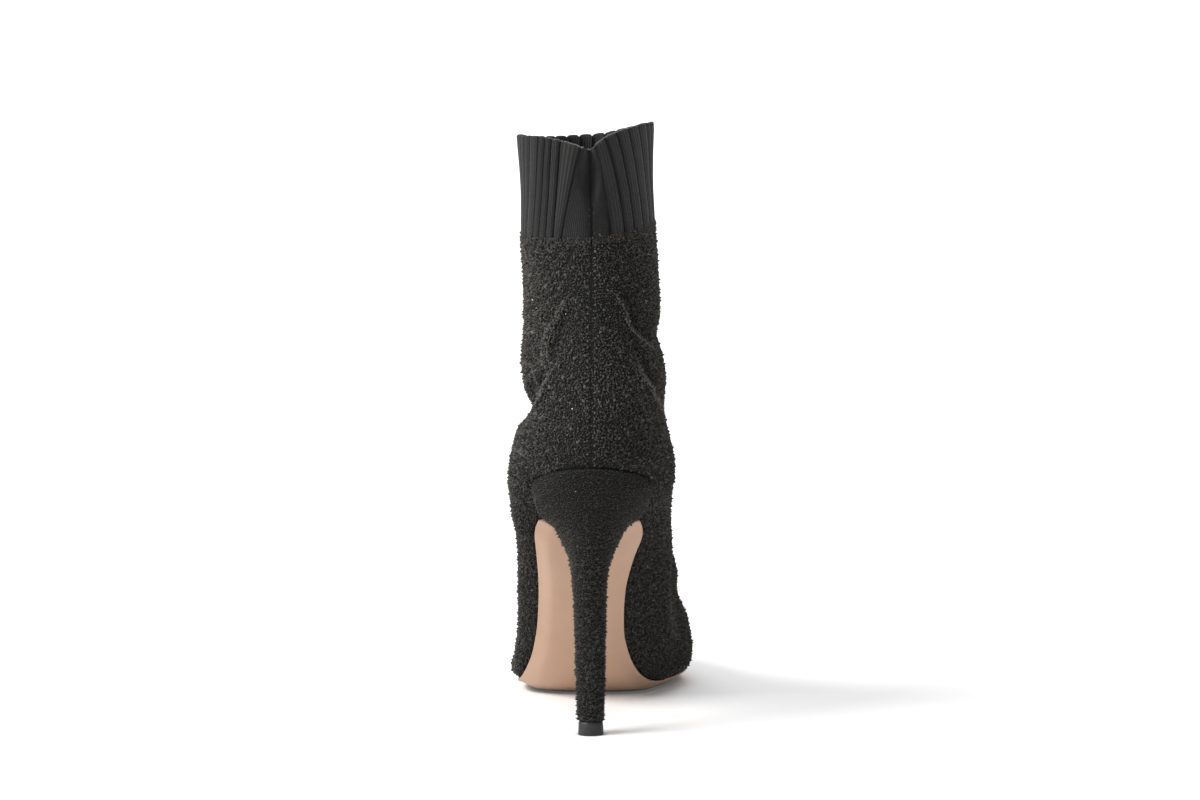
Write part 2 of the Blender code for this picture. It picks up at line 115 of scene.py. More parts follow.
# Sole outline, from the heel seat to the toe, as shares of 100 of LENGTH and BALL_WIDTH
Outline = namedtuple("Outline", "along medial lateral")
SOLE_OUTLINE = rows_of(
    Outline,
    (5.0, 12, 12.5),
    (9.0, 20, 21),
    (15.0, 23, 26),
    (22.6, 23.5, 28.5),  # heel breast, with the sole's corners rounded off
    (25.0, 25.7, 31.4),
    (29.4, 20.9, 30.9),
    (34.2, 16.8, 30.3),  # waist
    (40.0, 15.5, 31.2),
    (44.0, 16.7, 33.0),
    (51.0, 24.0, 37.4),
    (57.0, 33.5, 40.6),
    (65.0, 45.0, 42.0),
    (72.0, 49.6, 38.0),  # ball
    (79.0, 45.0, 29.8),
    (86.8, 37.0, 15.5),
    (93.0, 28.5, 3.8),
    (97.4, 20.5, -5.5),
    (99.7, 16.2, -11.8),  # toe
)
OPENING_ROWS = (2, 13.5)  # sections between which the upper is open underneath
OUTSOLE_ROWS = (0.5, 11)  # sections that the outsole runs between, toe to heel
INSOLE_ROWS = (2, 14)

# Heel sections from the tip to the rim: back and front edge in the side view, half the width,
# how far forward it is widest (share of 100), and the roundness of back and front
HeelSection = namedtuple(
    "HeelSection", "back_y back_z front_y front_z half widest back_power front_power"
)
HEEL_SECTIONS = rows_of(
    HeelSection,
    (17.5, 5.8, 27.5, 5.8, 4.8, 50, 2.2, 2.8),
    (17.3, 20, 28.4, 20, 5.3, 50, 2.2, 2.8),
    (16.5, 40, 30.2, 38.5, 5.7, 50, 2.2, 2.8),
    (15.0, 58, 33.0, 53, 6.4, 50, 2.2, 2.8),
    (12.5, 74, 36.8, 63, 8.0, 52, 2.2, 2.8),
    (9.5, 86, 41.0, 69.5, 11.2, 56, 2.2, 2.8),
    (6.6, 95, 45.5, 74.5, 16.0, 60, 2.2, 2.6),
    (4.2, 102, 49.5, 78.0, 21.0, 50, 2.2, 2.1),
)
HEEL_RIM = HeelSection(2.8, 107.5, 50.8, 80.5, 24.0, 52, 2.05, 2.0)
TOP_LIFT_FLARE = 1.06  # floor face against the face under the heel

# Facets of the lattice: columns on each side as far as the opening's edge, the sole's edge and the ridge
OPENING_COLUMNS = 6
MARGIN_COLUMNS = 6
WALL_COLUMNS = 72
SOLE_COLUMNS = OPENING_COLUMNS + MARGIN_COLUMNS
HALF_COLUMNS = SOLE_COLUMNS + WALL_COLUMNS
FOOT_ROWS = 6  # rows for each section of the foot
ANKLE_ROWS = 18  # rows for each section of the ankle and shaft
OUTLINE_SAMPLES = 240
UNDERFOOT_SAMPLES = 180
SETTLE_ROWS = 4  # sections above the opening over which the columns become even again

# The photo's camera, and where the boot sits in its picture of 1200 by 800
CAMERA = (43.2 + BOX_MIDDLE_X, -2482.5, 416)
FRAME_WIDTH = 1200
SENSOR = 36
PIXELS_PER_RADIAN = 6400
AIM = (2.9, 30, 132.4)

# Creases: how far each stands out (or in, below 0), how wide it is, and its route
Crease = namedtuple("Crease", "out width route")
# Routes on the back give x and height
BACK_CREASES = rows_of(
    Crease,
    # Lateral side: two ridges beside a trough, then the edge of the fold above the heel
    (1.7, 1.3, ((-7.6, 177), (-10.7, 172.5), (-14, 165.5), (-17.7, 159), (-19, 152), (-17.6, 146))),
    (1.0, 0.9, ((-13.2, 166.7), (-15, 162.8), (-16.6, 159), (-17.2, 154.5), (-17, 150), (-16, 146))),
    (-1.0, 2.4, ((-8, 171), (-10, 166), (-12.9, 158), (-14.7, 153.4), (-15.6, 149), (-14, 144))),
    (1.5, 1.5, ((-12, 153), (-15.5, 146), (-17.2, 142.3), (-19.2, 138), (-21.3, 134.4), (-24, 130))),
    (-1.6, 2.2, ((-17, 147), (-18.7, 144), (-20.6, 140.3), (-22.2, 136.8), (-24.4, 132.5))),
    # Medial side: a ridge between two troughs, then the edge of the other fold
    (
        1.7,
        1.3,
        ((5.5, 178.5), (9.4, 175.5), (12.4, 170), (14, 164.5), (17, 160.5), (21.8, 155.5), (24.6, 154)),
    ),
    (-1.8, 2.6, ((10, 178), (14.8, 172), (15.8, 167.5), (17.6, 163.5), (20.3, 160), (24, 157))),
    (-2.0, 2.5, ((11, 164.5), (15, 160), (17, 157), (18.8, 153), (20.6, 148), (22, 144), (23.8, 139.5))),
    (1.5, 1.5, ((15.5, 150), (19.6, 144), (22.2, 139.5), (24.5, 134.4), (26.4, 130.7), (27.4, 128))),
)
# Routes round the sides give turn in degrees from the back, medial side positive, and height
SIDE_CREASES = rows_of(
    Crease,
    (
        -5.0,
        4.8,
        ((-38, 142), (-46, 136), (-56, 131), (-70, 128), (-88, 127), (-112, 126.5), (-140, 128)),
    ),
    (1.0, 7.0, ((-42, 154), (-58, 149), (-75, 147), (-95, 148), (-120, 152))),
    (1.0, 11.0, ((-88, 98), (-108, 90), (-120, 82), (-129, 75.5), (-136, 68))),
    (-2.0, 5.2, ((34, 164), (54, 158.5), (81, 157.5), (104, 159), (130, 164))),
    (1.0, 7.5, ((46, 147), (60, 142.5), (76, 140), (96, 140), (120, 143))),
    (0.8, 13.0, ((70, 112), (90, 104), (110, 92), (128, 79), (140, 70))),
)
CREASE_AXIS = 47  # y of the upright line that turns are measured from
# Routes on the foot's medial flank give y and height
FLANK_CREASES = rows_of(
    Crease,
    (1.0, 7.0, ((76, 78), (86, 70), (93, 63), (101, 55))),
    (1.8, 6.0, ((122, 64), (133, 58), (142, 52.5), (151, 48.5), (160, 46))),
    (-1.9, 5.5, ((130, 50), (141, 44.5), (151, 38.5), (160, 34.5), (168, 32))),
)
# And on its lateral flank, where the knit stands out above the sole's edge
LATERAL_CREASES = rows_of(
    Crease,
    (2.4, 4.0, ((112, 22), (120, 14), (130, 9.5), (143, 8), (156, 8.5), (168, 9.5))),
)
FAR_OUT = 200  # where lines that are cast on to the boot start
BELOW_FLOOR = -1  # and those cast on to its underside
CREASE_STEPS = 14  # points read between two points of a route
CREASE_TAPER = 0.6  # how creases run out at their ends; 1 is a sine

rng = np.random.default_rng(7)


def smooth_rows(table, at):
    """Rows of a table read at fractional indices, on a smooth curve through its own rows."""
    values = np.array(table, float)
    last = len(values) - 1
    at = np.clip(np.atleast_1d(np.asarray(at, float)), 0, last)
    start = np.minimum(at.astype(int), last - 1)
    share = (at - start)[:, None]
    tangents = np.gradient(values, axis=0)
    return (
        (2 * share**3 - 3 * share**2 + 1) * values[start]
        + (share**3 - 2 * share**2 + share) * tangents[start]
        + (3 * share**2 - 2 * share**3) * values[start + 1]
        + (share**3 - share**2) * tangents[start + 1]
    )


def smooth_at(table, column, where):
    """Columns of a table read where its given column has a value, on the same kind of curve."""
    keys = np.array([getattr(row, column) for row in table], float)
    return smooth_rows(table, np.interp(where, keys, np.arange(len(keys))))


def ease(share):
    """0 to 1 with a soft start and end."""
    share = np.clip(share, 0, 1)
    return share**2 * (3 - 2 * share)


def bell(away, width):
    """1 at no distance, falling to almost 0 two widths away."""
    return np.exp(-((away / width) ** 2))


def read_pairs(pairs, where):
    """The second numbers of some pairs, read where the first ones have a value."""
    return np.interp(where, *np.transpose(pairs))


def half_section(widest, low_power, high_power, neck=0):
    """Half of a section: how far up and how far out, from its low point to its high point."""
    turn = np.linspace(0, math.pi, OUTLINE_SAMPLES)
    below = turn <= math.pi / 2
    power = np.where(below, low_power, high_power)
    out = np.sin(turn) ** (2 / power)
    lift = np.abs(np.cos(turn)) ** (2 / power)
    up = np.where(below, widest * (1 - lift), widest + (1 - widest) * lift)
    out = np.where(below, out, out * (1 - neck * np.sin(math.pi * lift)))
    return up, out


def section_at(row):
    """A section's two halves, medial then lateral, as dense lines of points from keel to ridge."""
    low_y, low_z, high_y, high_z, keel, ridge, medial, lateral, widest, low_power, high_power, neck = row
    widest = widest / 100
    up, out = half_section(widest, low_power, high_power, neck / 100)
    y = (low_y + (high_y - low_y) * up) / 100 * LENGTH
    z_low = low_z / 100 * HEEL_HEIGHT
    z_high = high_z / 100 * INSTEP_HEIGHT
    z = z_low + (z_high - z_low) * up
    middle = keel + (ridge - keel) * up
    middle_widest = keel + (ridge - keel) * widest
    halves = []
    for reach in (medial - middle_widest, -lateral - middle_widest):
        x = (middle + reach * out) / 100 * BALL_WIDTH
        halves.append(np.column_stack([x, y, z]))
    return halves


def run_of(points):
    """Distance along a line of points."""
    steps = np.linalg.norm(np.diff(points, axis=0), axis=1)
    return np.concatenate([[0], np.cumsum(steps)])


def along_line(points, run, marks):
    """Points of a line at given distances along it."""
    return np.column_stack([np.interp(marks, run, points[:, k]) for k in range(3)])


def share_at(half, edge_x):
    """Share of a half section's length, from the keel, at which its underside passes an edge."""
    run = run_of(half)
    out = np.abs(half[:, 0] - half[0, 0])
    under = out[: int(out.argmax()) + 1]
    return float(np.interp(abs(edge_x - half[0, 0]), under, run[: len(under)]) / run[-1])


def column_shares(indices):
    """For each row and half, the shares of its length at the opening's edge and at the sole's edge."""
    first, last = OUTSOLE_ROWS[0], OPENING_ROWS[1]
    under_foot = np.linspace(first, last, UNDERFOOT_SAMPLES)
    shares = []
    for row in smooth_rows(SECTIONS, under_foot):
        _, medial, lateral = smooth_at(SOLE_OUTLINE, "along", row[0])[0] / 100 * BALL_WIDTH
        margin = min(LASTING_MARGIN, MOST_MARGIN * (medial + lateral))
        at_row = []
        for half, edge, inwards in zip(section_at(row), (medial, -lateral), (-1, 1)):
            at_row += [share_at(half, edge + inwards * margin), share_at(half, edge)]
        shares.append(at_row)
    even = [OPENING_COLUMNS / HALF_COLUMNS, SOLE_COLUMNS / HALF_COLUMNS] * 2
    keys = np.concatenate([[0], under_foot, [last + SETTLE_ROWS, RIM]])
    held = np.vstack([shares[0], shares, even, even])
    return np.column_stack([np.interp(indices, keys, held[:, k]) for k in range(4)])


def lattice(indices):
    """Points of the upper's outer surface: a closed row for each section index.

    Column 0 is the keel; columns go up the medial side to the ridge and down the lateral side.
    """
    rows = []
    for row, shares in zip(smooth_rows(SECTIONS, indices), column_shares(indices)):
        halves = []
        for half, (opening, edge) in zip(section_at(row), (shares[:2], shares[2:])):
            marks = np.concatenate(
                [
                    np.linspace(0, opening, OPENING_COLUMNS, endpoint=False),
                    np.linspace(opening, edge, MARGIN_COLUMNS, endpoint=False),
                    np.linspace(edge, 1, WALL_COLUMNS + 1),
                ]
            )
            run = run_of(half)
            halves.append(along_line(half, run, marks * run[-1]))
        medial, lateral = halves
        rows.append(np.vstack([medial, lateral[-2:0:-1]]))
    points = np.array(rows)
    rolled = ease((np.asarray(indices) - COUNTER) / (SHAFT_TOP - COUNTER))
    points[:, :, 2] += ROLL * points[:, :, 0] * rolled[:, None]
    return points


def unit(vectors):
    return vectors / np.maximum(np.linalg.norm(vectors, axis=-1, keepdims=True), TINY)


def outward_normals(points):
    """Unit normals of a lattice whose rows are closed."""
    along = np.gradient(points, axis=0)
    around = np.roll(points, -1, axis=1) - np.roll(points, 1, axis=1)
    return unit(np.cross(around, along))


def grid_faces(rows, columns, closed=True):
    """Quads of a lattice, as an array by row and column of four vertex numbers."""
    number = np.arange(rows * columns).reshape(rows, columns)
    after = np.roll(number, -1, axis=1)
    faces = np.stack([number[:-1], after[:-1], after[1:], number[1:]], axis=-1)
    return faces if closed else faces[:, :-1]


def fan_faces(first, count, centre, upwards):
    """Triangles from a ring of vertices to one vertex in its middle."""
    ring = first + np.arange(count)
    after = np.roll(ring, -1)
    middle = np.full(count, centre)
    return np.column_stack([middle, ring, after] if upwards else [middle, after, ring])


def capped_rings(rings):
    """Points and faces of closed rings, one above the other, with a fan over each end."""
    rows, columns, _ = rings.shape
    count = rows * columns
    points = np.vstack([rings.reshape(-1, 3), rings[0].mean(axis=0), rings[-1].mean(axis=0)])
    low = fan_faces(0, columns, count, False)
    high = fan_faces(count - columns, columns, count + 1, True)
    return points, [grid_faces(rows, columns).reshape(-1, 4), np.vstack([low, high])]


def border_edges(faces):
    """Edges that only one face has, in that face's direction."""
    edges = np.stack([faces, np.roll(faces, -1, axis=1)], axis=-1).swapaxes(0, 1).reshape(-1, 2)
    _, first, count = np.unique(np.sort(edges, axis=1), axis=0, return_index=True, return_counts=True)
    return edges[first[count == 1]]


def rim_faces(edges, shift):
    """Quads between border edges and their copies, whose vertex numbers are higher by shift."""
    return np.column_stack([edges[:, 1], edges[:, 0], edges[:, 0] + shift, edges[:, 1] + shift])


def surface_tree(points):
    """A tree for finding where a straight line meets a lattice."""
    faces = grid_faces(*points.shape[:2]).reshape(-1, 4)
    return BVHTree.FromPolygons([Vector(p) for p in points.reshape(-1, 3)], faces.tolist())


def nearest_distance(points, line):
    """For each point, how far away the nearest point of a line is, and its number."""
    squared = (points**2).sum(axis=1)[:, None] + (line**2).sum(axis=1)[None] - 2 * points @ line.T
    nearest = squared.argmin(axis=1)
    return np.sqrt(np.maximum(squared[np.arange(len(points)), nearest], 0)), nearest


def link_object(name, data):
    """A new object in the scene."""
    made = bpy.data.objects.new(name, data)
    bpy.context.scene.collection.objects.link(made)
    return made


def new_piece(name, points, face_groups, material, slot, replaces=None):
    """A mesh piece from points in millimetres and arrays of faces, riding with the boot."""
    mesh = bpy.data.meshes.new(name)
    places = (np.asarray(points, float).reshape(-1, 3) - (BOX_MIDDLE_X, LENGTH / 2, 0)) * MM
    numbers = np.concatenate([faces.ravel() for faces in face_groups])
    used, corners = np.unique(numbers, return_inverse=True)
    sizes = np.concatenate([np.full(len(faces), faces.shape[1]) for faces in face_groups])
    starts = np.concatenate([[0], np.cumsum(sizes)[:-1]])
    mesh.vertices.add(len(used))
    mesh.vertices.foreach_set("co", places[used].astype(np.float32).ravel())
    mesh.loops.add(len(corners))
    mesh.loops.foreach_set("vertex_index", corners.astype(np.int32))
    mesh.polygons.add(len(sizes))
    mesh.polygons.foreach_set("loop_start", starts.astype(np.int32))
    mesh.update(calc_edges=True)
    mesh.shade_smooth()
    mesh.materials.append(material)
    piece = link_object(name, mesh)
    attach(piece, BODY)
    if replaces:
        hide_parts(replaces)
    return piece


def vertex_values(piece, name, values):
    """Gives each vertex a number that a material can read."""
    layer = piece.data.attributes.new(name, "FLOAT", "POINT")
    layer.data.foreach_set("value", np.asarray(values, np.float32).ravel())


# Materials


def new_material(name, **sockets):
    """A material whose shader has these constant values, with its node tree and shader."""
    material = bpy.data.materials.new(name)
    material.use_nodes = True
    shader = material.node_tree.nodes["Principled BSDF"]
    for socket, value in sockets.items():
        shader.inputs[socket.replace("_", " ")].default_value = value
    return material, material.node_tree, shader


def add_node(tree, kind, inputs=None, **settings):
    """A node with its settings, and its inputs set to values or linked to other nodes' outputs."""
    node = tree.nodes.new(kind)
    for name, value in settings.items():
        setattr(node, name, value)
    for name, value in (inputs or {}).items():
        if isinstance(value, bpy.types.NodeSocket):
            tree.links.new(value, node.inputs[name])
        else:
            node.inputs[name].default_value = value
    return node


def noise(tree, scale, detail=3, roughness=0.6):
    """A noise over the object's own coordinates."""
    place = add_node(tree, "ShaderNodeTexCoord").outputs["Object"]
    inputs = {"Vector": place, "Scale": scale, "Detail": detail, "Roughness": roughness}
    return add_node(tree, "ShaderNodeTexNoise", inputs).outputs["Fac"]


def vertex_value(tree, name):
    return add_node(tree, "ShaderNodeAttribute", attribute_name=name).outputs["Fac"]


def calculate(tree, operation, first, second=0.0):
    return add_node(tree, "ShaderNodeMath", {0: first, 1: second}, operation=operation).outputs["Value"]


def ramp(tree, factor, *stops):
    """A colour that changes with a factor, from stops of place and colour."""
    node = add_node(tree, "ShaderNodeValToRGB", {"Fac": factor})
    elements = node.color_ramp.elements
    while len(elements) < len(stops):
        elements.new(0.5)
    for element, (place, colour) in zip(elements, stops):
        element.position = place
        element.color = (*colour, 1)
    return node.outputs["Color"]


def paint(tree, shader, factor, *stops):
    """Gives the shader a colour that changes with a factor."""
    tree.links.new(ramp(tree, factor, *stops), shader.inputs["Base Color"])


def bump(tree, shader, height, strength, distance):
    """Raises the shader's surface by a height."""
    inputs = {"Height": height, "Strength": strength, "Distance": distance * MM}
    node = add_node(tree, "ShaderNodeBump", inputs)
    tree.links.new(node.outputs["Normal"], shader.inputs["Normal"])


def yarn_material():
    """Strands of the boucle: near-black wool, each with its own shade, and a few pale bits of lint.
    Their shades also carry painted highlights and painted shade.
    """
    material, tree, shader = new_material(
        "boucle_yarn", Roughness=0.85, Sheen_Weight=0.1, Sheen_Roughness=0.45, Specular_IOR_Level=0.25
    )
    paint(
        tree,
        shader,
        vertex_value(tree, "shade"),
        (0.0, (0.011, 0.0103, 0.0085)),
        (0.45, (0.044, 0.0413, 0.0349)),
        (0.9, (0.146, 0.137, 0.117)),
        (1.0, (0.80, 0.79, 0.77)),
    )
    bump(tree, shader, noise(tree, scale=4200, detail=2), strength=0.6, distance=0.12)
    return material


def mottled_material(name, mottle, stops, grain, relief, **sockets):
    """A material whose colour follows a noise and whose surface is raised by another.

    mottle and grain are the scale and detail of the two noises, relief a strength and a distance.
    """
    material, tree, shader = new_material(name, **sockets)
    paint(tree, shader, noise(tree, *mottle), *stops)
    bump(tree, shader, noise(tree, *grain), *relief)
    return material


def ground_material():
    """The knit between the strands, darker than they are: painted shade in the gaps."""
    return mottled_material(
        "boucle_ground",
        mottle=(900, 3),
        stops=((0.3, (0.006, 0.006, 0.0058)), (0.7, (0.016, 0.0157, 0.0151))),
        grain=(1400, 4),
        relief=(0.9, 0.5),
        Roughness=0.95,
        Specular_IOR_Level=0.15,
    )


RIB_MOTTLE = 0.13  # how much a noise changes the rib knit's tone


def rib_material():
    """Smooth rib knit, charcoal, with painted shade in its grooves and between its wales, and the small
    stitches of its wales.
    """
    material, tree, shader = new_material(
        "rib_yarn", Roughness=0.8, Sheen_Weight=0.22, Sheen_Roughness=0.4, Specular_IOR_Level=0.25
    )
    tone = calculate(tree, "MULTIPLY_ADD", noise(tree, scale=420, detail=4), RIB_MOTTLE)
    tree.links.new(vertex_value(tree, "shade"), tone.node.inputs[2])
    paint(
        tree,
        shader,
        tone,
        (0.065, (0.0075, 0.0071, 0.0068)),
        (0.36, (0.0125, 0.0118, 0.0115)),
        (0.66, (0.0262, 0.0246, 0.0241)),
        (1.0, (0.085, 0.080, 0.078)),
    )
    course = calculate(tree, "MULTIPLY", vertex_value(tree, "course"), 2 * math.pi)
    bump(tree, shader, calculate(tree, "SINE", course), strength=0.5, distance=0.1)
    return material


def thread_material():
    """The pale thread that binds the cuff's rim."""
    return mottled_material(
        "rim_thread",
        mottle=(700, 3),
        stops=((0.35, (0.03, 0.029, 0.028)), (0.7, (0.22, 0.215, 0.21))),
        grain=(3000, 2),
        relief=(0.5, 0.1),
        Roughness=0.7,
        Sheen_Weight=0.2,
    )


# Leathers: their light and dark tone, and their roughness
SOLE_LEATHER = ((0.47, 0.298, 0.205), (0.435, 0.27, 0.181), 0.42)
INSOLE_LEATHER = ((0.52, 0.36, 0.27), (0.47, 0.32, 0.235), 0.6)
# Colour of the painted shadow where the sole nears the floor
CONTACT_SHADOW_LEATHER = (0.05, 0.034, 0.026)
GLOSS_SPREAD = 0.06


def leather_material(name, light, dark, roughness):
    """Smooth leather with a faint grain and uneven tone, darkened by a painted shadow where its vertices
    carry one.
    """
    material, tree, shader = new_material(name, Specular_IOR_Level=0.4)
    uneven = noise(tree, scale=45, detail=5, roughness=0.65)
    tone = calculate(tree, "SUBTRACT", uneven, vertex_value(tree, "painted_contact_shadow"))
    paint(tree, shader, tone, (0.0, CONTACT_SHADOW_LEATHER), (0.28, dark), (0.7, light))
    limits = {"To Min": roughness - GLOSS_SPREAD, "To Max": roughness + GLOSS_SPREAD}
    inputs = {"Value": noise(tree, scale=120, detail=4), **limits}
    gloss = add_node(tree, "ShaderNodeMapRange", inputs)
    tree.links.new(gloss.outputs["Result"], shader.inputs["Roughness"])
    bump(tree, shader, noise(tree, scale=1500), strength=0.12, distance=0.1)
    return material


def rubber_material():
    """Black rubber, worn a little grey."""
    return mottled_material(
        "top_lift_rubber",
        mottle=(500, 5),
        stops=((0.3, (0.013, 0.013, 0.0132)), (0.7, (0.023, 0.023, 0.0236))),
        grain=(2200, 3),
        relief=(0.25, 0.1),
        Roughness=0.5,
        Specular_IOR_Level=0.45,
    )


# Upper

SKIN_DEPTH = 0.5  # how far the knit's ground lies below the frame's surface
SEAM_X = -0.1  # the back seam
SEAM_FROM = COUNTER - 0.5  # section that it starts from
SEAM_DEPTH = 0.25
SEAM_WIDTH = 0.9
INSIDE_FOLLOWS = 0.8  # how much of a trough's depth shows on the wall's inside


def cast(tree, start, direction):
    """Where a line meets the boot, and the outward normal there."""
    place, normal, _, _ = tree.ray_cast(Vector(start), Vector(direction))
    return np.array(place), np.array(normal)


def from_behind(tree, across, height):
    """The surface seen from behind, at an x and a height."""
    return cast(tree, (across, -FAR_OUT, height), (0, 1, 0))


def from_below(tree, across, along):
    """The surface seen from below, at an x and a y."""
    return cast(tree, (across, along, BELOW_FLOOR), (0, 0, 1))


def crease_lines(tree):
    """Each crease's points on the surface, with how strongly it shows there."""

    def from_axis(tree, turn, height):
        outwards = (math.sin(math.radians(turn)), -math.cos(math.radians(turn)), 0)
        return cast(tree, (0, CREASE_AXIS, height), outwards)

    def from_medial(tree, along, height):
        return cast(tree, (FAR_OUT, along, height), (-1, 0, 0))

    def from_lateral(tree, along, height):
        return cast(tree, (-FAR_OUT, along, height), (1, 0, 0))

    lines = []
    kinds = (
        (BACK_CREASES, from_behind),
        (SIDE_CREASES, from_axis),
        (FLANK_CREASES, from_medial),
        (LATERAL_CREASES, from_lateral),
    )
    for creases, surface_at in kinds:
        for crease in creases:
            last = len(crease.route) - 1
            route = smooth_rows(crease.route, np.linspace(0, last, last * CREASE_STEPS + 1))
            points = np.array([surface_at(tree, *place)[0] for place in route])
            taper = np.sin(np.linspace(0, math.pi, len(points))) ** CREASE_TAPER
            lines.append((crease, points, taper))
    return lines


def crease_height(points, lines):
    """How far the creases lift the surface at given points."""
    height = np.zeros(len(points))
    for crease, line, taper in lines:
        away, nearest = nearest_distance(points, line)
        height += crease.out * taper[nearest] * bell(away, crease.width)
    return height


def upper_surface(indices, base, normals, lines):
    """The boucle's ground and the inside of its wall: points by row and column."""
    lift = crease_height(base.reshape(-1, 3), lines).reshape(base.shape[:2])
    at_back = (indices[:, None] > SEAM_FROM) & (base[:, :, 1] < CREASE_AXIS)
    seam = at_back * bell(base[:, :, 0] - SEAM_X, SEAM_WIDTH)
    lift = lift - SKIN_DEPTH - SEAM_DEPTH * seam
    points = base + normals * lift[:, :, None]
    inner = base + normals * (np.minimum(lift, 0) * INSIDE_FOLLOWS - UPPER_WALL)[:, :, None]
    return points, inner


def in_rows(index, limits):
    return (limits[0] - TINY <= index) & (index <= limits[1] + TINY)


def from_keel():
    """How many columns each quad is away from the keel."""
    column = np.arange(2 * HALF_COLUMNS)
    return np.minimum(column, 2 * HALF_COLUMNS - 1 - column)


def add_upper(indices, points, inner, material):
    """The knit's ground: open at the top and underneath, closed at the toe."""
    rows, columns, _ = points.shape
    open_rows = in_rows(indices[:-1], OPENING_ROWS) & in_rows(indices[1:], OPENING_ROWS)
    kept = grid_faces(rows, columns)[~(open_rows[:, None] & (from_keel() < OPENING_COLUMNS)[None])]
    count = rows * columns
    edges = border_edges(kept)
    rim = rim_faces(edges[(edges >= columns).any(axis=1)], count)
    tips = [fan_faces(0, columns, 2 * count, False), fan_faces(count, columns, 2 * count + 1, True)]
    middles = [points[0].mean(axis=0), inner[0].mean(axis=0)]
    places = np.vstack([points.reshape(-1, 3), inner.reshape(-1, 3), middles])
    groups = [np.vstack([kept, kept[:, ::-1] + count, rim]), np.vstack(tips)]
    new_piece("upper_ground", places, groups, material, "boucle_knit", "upper")


# Boucle: short strands of yarn that stand in the knit's ground

NUB_SPACING = 1.1
NUB_JITTER = (0.1, 0.9)  # where in its share of the surface a strand is put
PUSH_APART = 0.3  # how far strands that are too close move, of their overlap
NUB_RADIUS = 0.42
NUB_SCALES = (0.75, 1.25)
NUB_RINGS = ((-0.46, -0.14, 0.72), (0.0, 0.42, 1.02), (0.46, -0.14, 0.72))  # along, up, thickness
NUB_SIDES = (90, 330, 210)
STRAND_PAINTED_HIGHLIGHT_AND_SHADE = (0.1, -0.12, -0.12)  # painted highlight on the strands' tops and painted shade on their other sides
UPRIGHT = math.pi / 2  # which way strands lie, against level
NUB_TURN, NUB_WOBBLE, NUB_LEAN = 0.7, 0.07, 0.4  # how much their turn, bends and lean vary
NEARLY_LEVEL = 0.9  # upward part of a normal above which a surface counts as level
YARN_BETA, YARN_LIGHTEST = (3.0, 4.5), 0.85  # how the strands' shades are spread
MOST_IN_A_PIECE = 13000  # strands
SEAM_CLEAR = 0.3  # room between the boucle's strands and the back seam
HEEL_CLEAR = 0.65  # and between them and the edge of the heel's cover
SEAM_CALM, SEAM_CALM_SIZE = 2.2, 0.8  # how far beside the seam strands are small, and their size
RIDGE_PAINTED_HIGHLIGHT, TROUGH_PAINTED_SHADE = 0.2, 0.09  # painted highlight on crease ridges and painted shade in their troughs, per millimetre
SHARP_WIDTH = 3  # ridges wider than this get no painted highlight
MOST_LIFT = 1.6  # lift at which the change is greatest
STITCH_ASIDE = 1.45  # stitches beside the back seam
STITCH_PITCH = 2.6
STITCH_STAGGER = 0.4
STITCH_SIZE = 0.95
STITCH_FROM = HEEL_RIM.back_z + 2  # height of the lowest
STITCH_SHADES = (0.45, 0.8)
# Bits of pale lint on the back, as x, z and shade
LINT = ((-7.8, 131.9, 1.0), (-10.5, 169.0, 0.99), (-23.2, 172.5, 0.97), (20.4, 109.2, 0.94))
HEEL_LINT = ((-5.7, 98.9, 0.92),)
LINT_SHADE = 0.9  # strands lighter than this are lint
LINT_SIZE = 0.75
LIGHTEST = 0.84  # of the other strands
LOOP_SHARE, LOOP_SIZE = 0.13, 1.5  # strands that stand out from the rest
CORD_WIDTH = 1.6  # ridges up to this width have a cord of strands along them
CORD_PITCH = 0.68
CORD_TURN = 0.12
CORD_SIZE = 0.82
CORD_SHADES_AND_PAINTED_HIGHLIGHT = (0.3, 0.42)  # at the ends of a ridge, and the painted highlight added in its middle
CORD_UNEVEN = 0.05
UNDER_COVER = 8  # height above the heel's rim, in its plan, that carries no strands


def scatter(points, keep, spacing):
    """Places spread over the kept quads of a lattice, and the normals there."""
    rows, columns, _ = points.shape
    corners = points.reshape(-1, 3)[grid_faces(rows, columns)]
    a, b, c, d = (corners[:, :, k] for k in range(4))
    across = np.cross(c - a, d - b)
    area = np.linalg.norm(across, axis=2) / 2 * keep
    count = int(area.sum() / spacing**2)
    marks = (np.arange(count) + rng.uniform(*NUB_JITTER, count)) / count * area.sum()
    cell = np.searchsorted(np.cumsum(area.ravel()), marks).clip(0, area.size - 1)
    u, v = rng.uniform(0, 1, (2, count, 1))
    a, b, c, d = (corner.reshape(-1, 3)[cell] for corner in (a, b, c, d))
    places = (a * (1 - u) + b * u) * (1 - v) + (d * (1 - u) + c * u) * v
    normals = unit(across.reshape(-1, 3)[cell])
    return spread(places, normals, spacing), normals


def spread(places, normals, spacing, rounds=3):
    """Moves places that are too close to each other apart, along the surface."""
    for _ in range(rounds):
        tree = kdtree.KDTree(len(places))
        for k, place in enumerate(places):
            tree.insert(place, k)
        tree.balance()
        moved = places.copy()
        for k, place in enumerate(places):
            push = np.zeros(3)
            for other, _, distance in tree.find_range(place, spacing):
                if distance > 0:
                    push += (place - np.array(other)) / distance * (spacing - distance)
            push -= normals[k] * (push @ normals[k])
            moved[k] = place + PUSH_APART * push
        places = moved
    return places


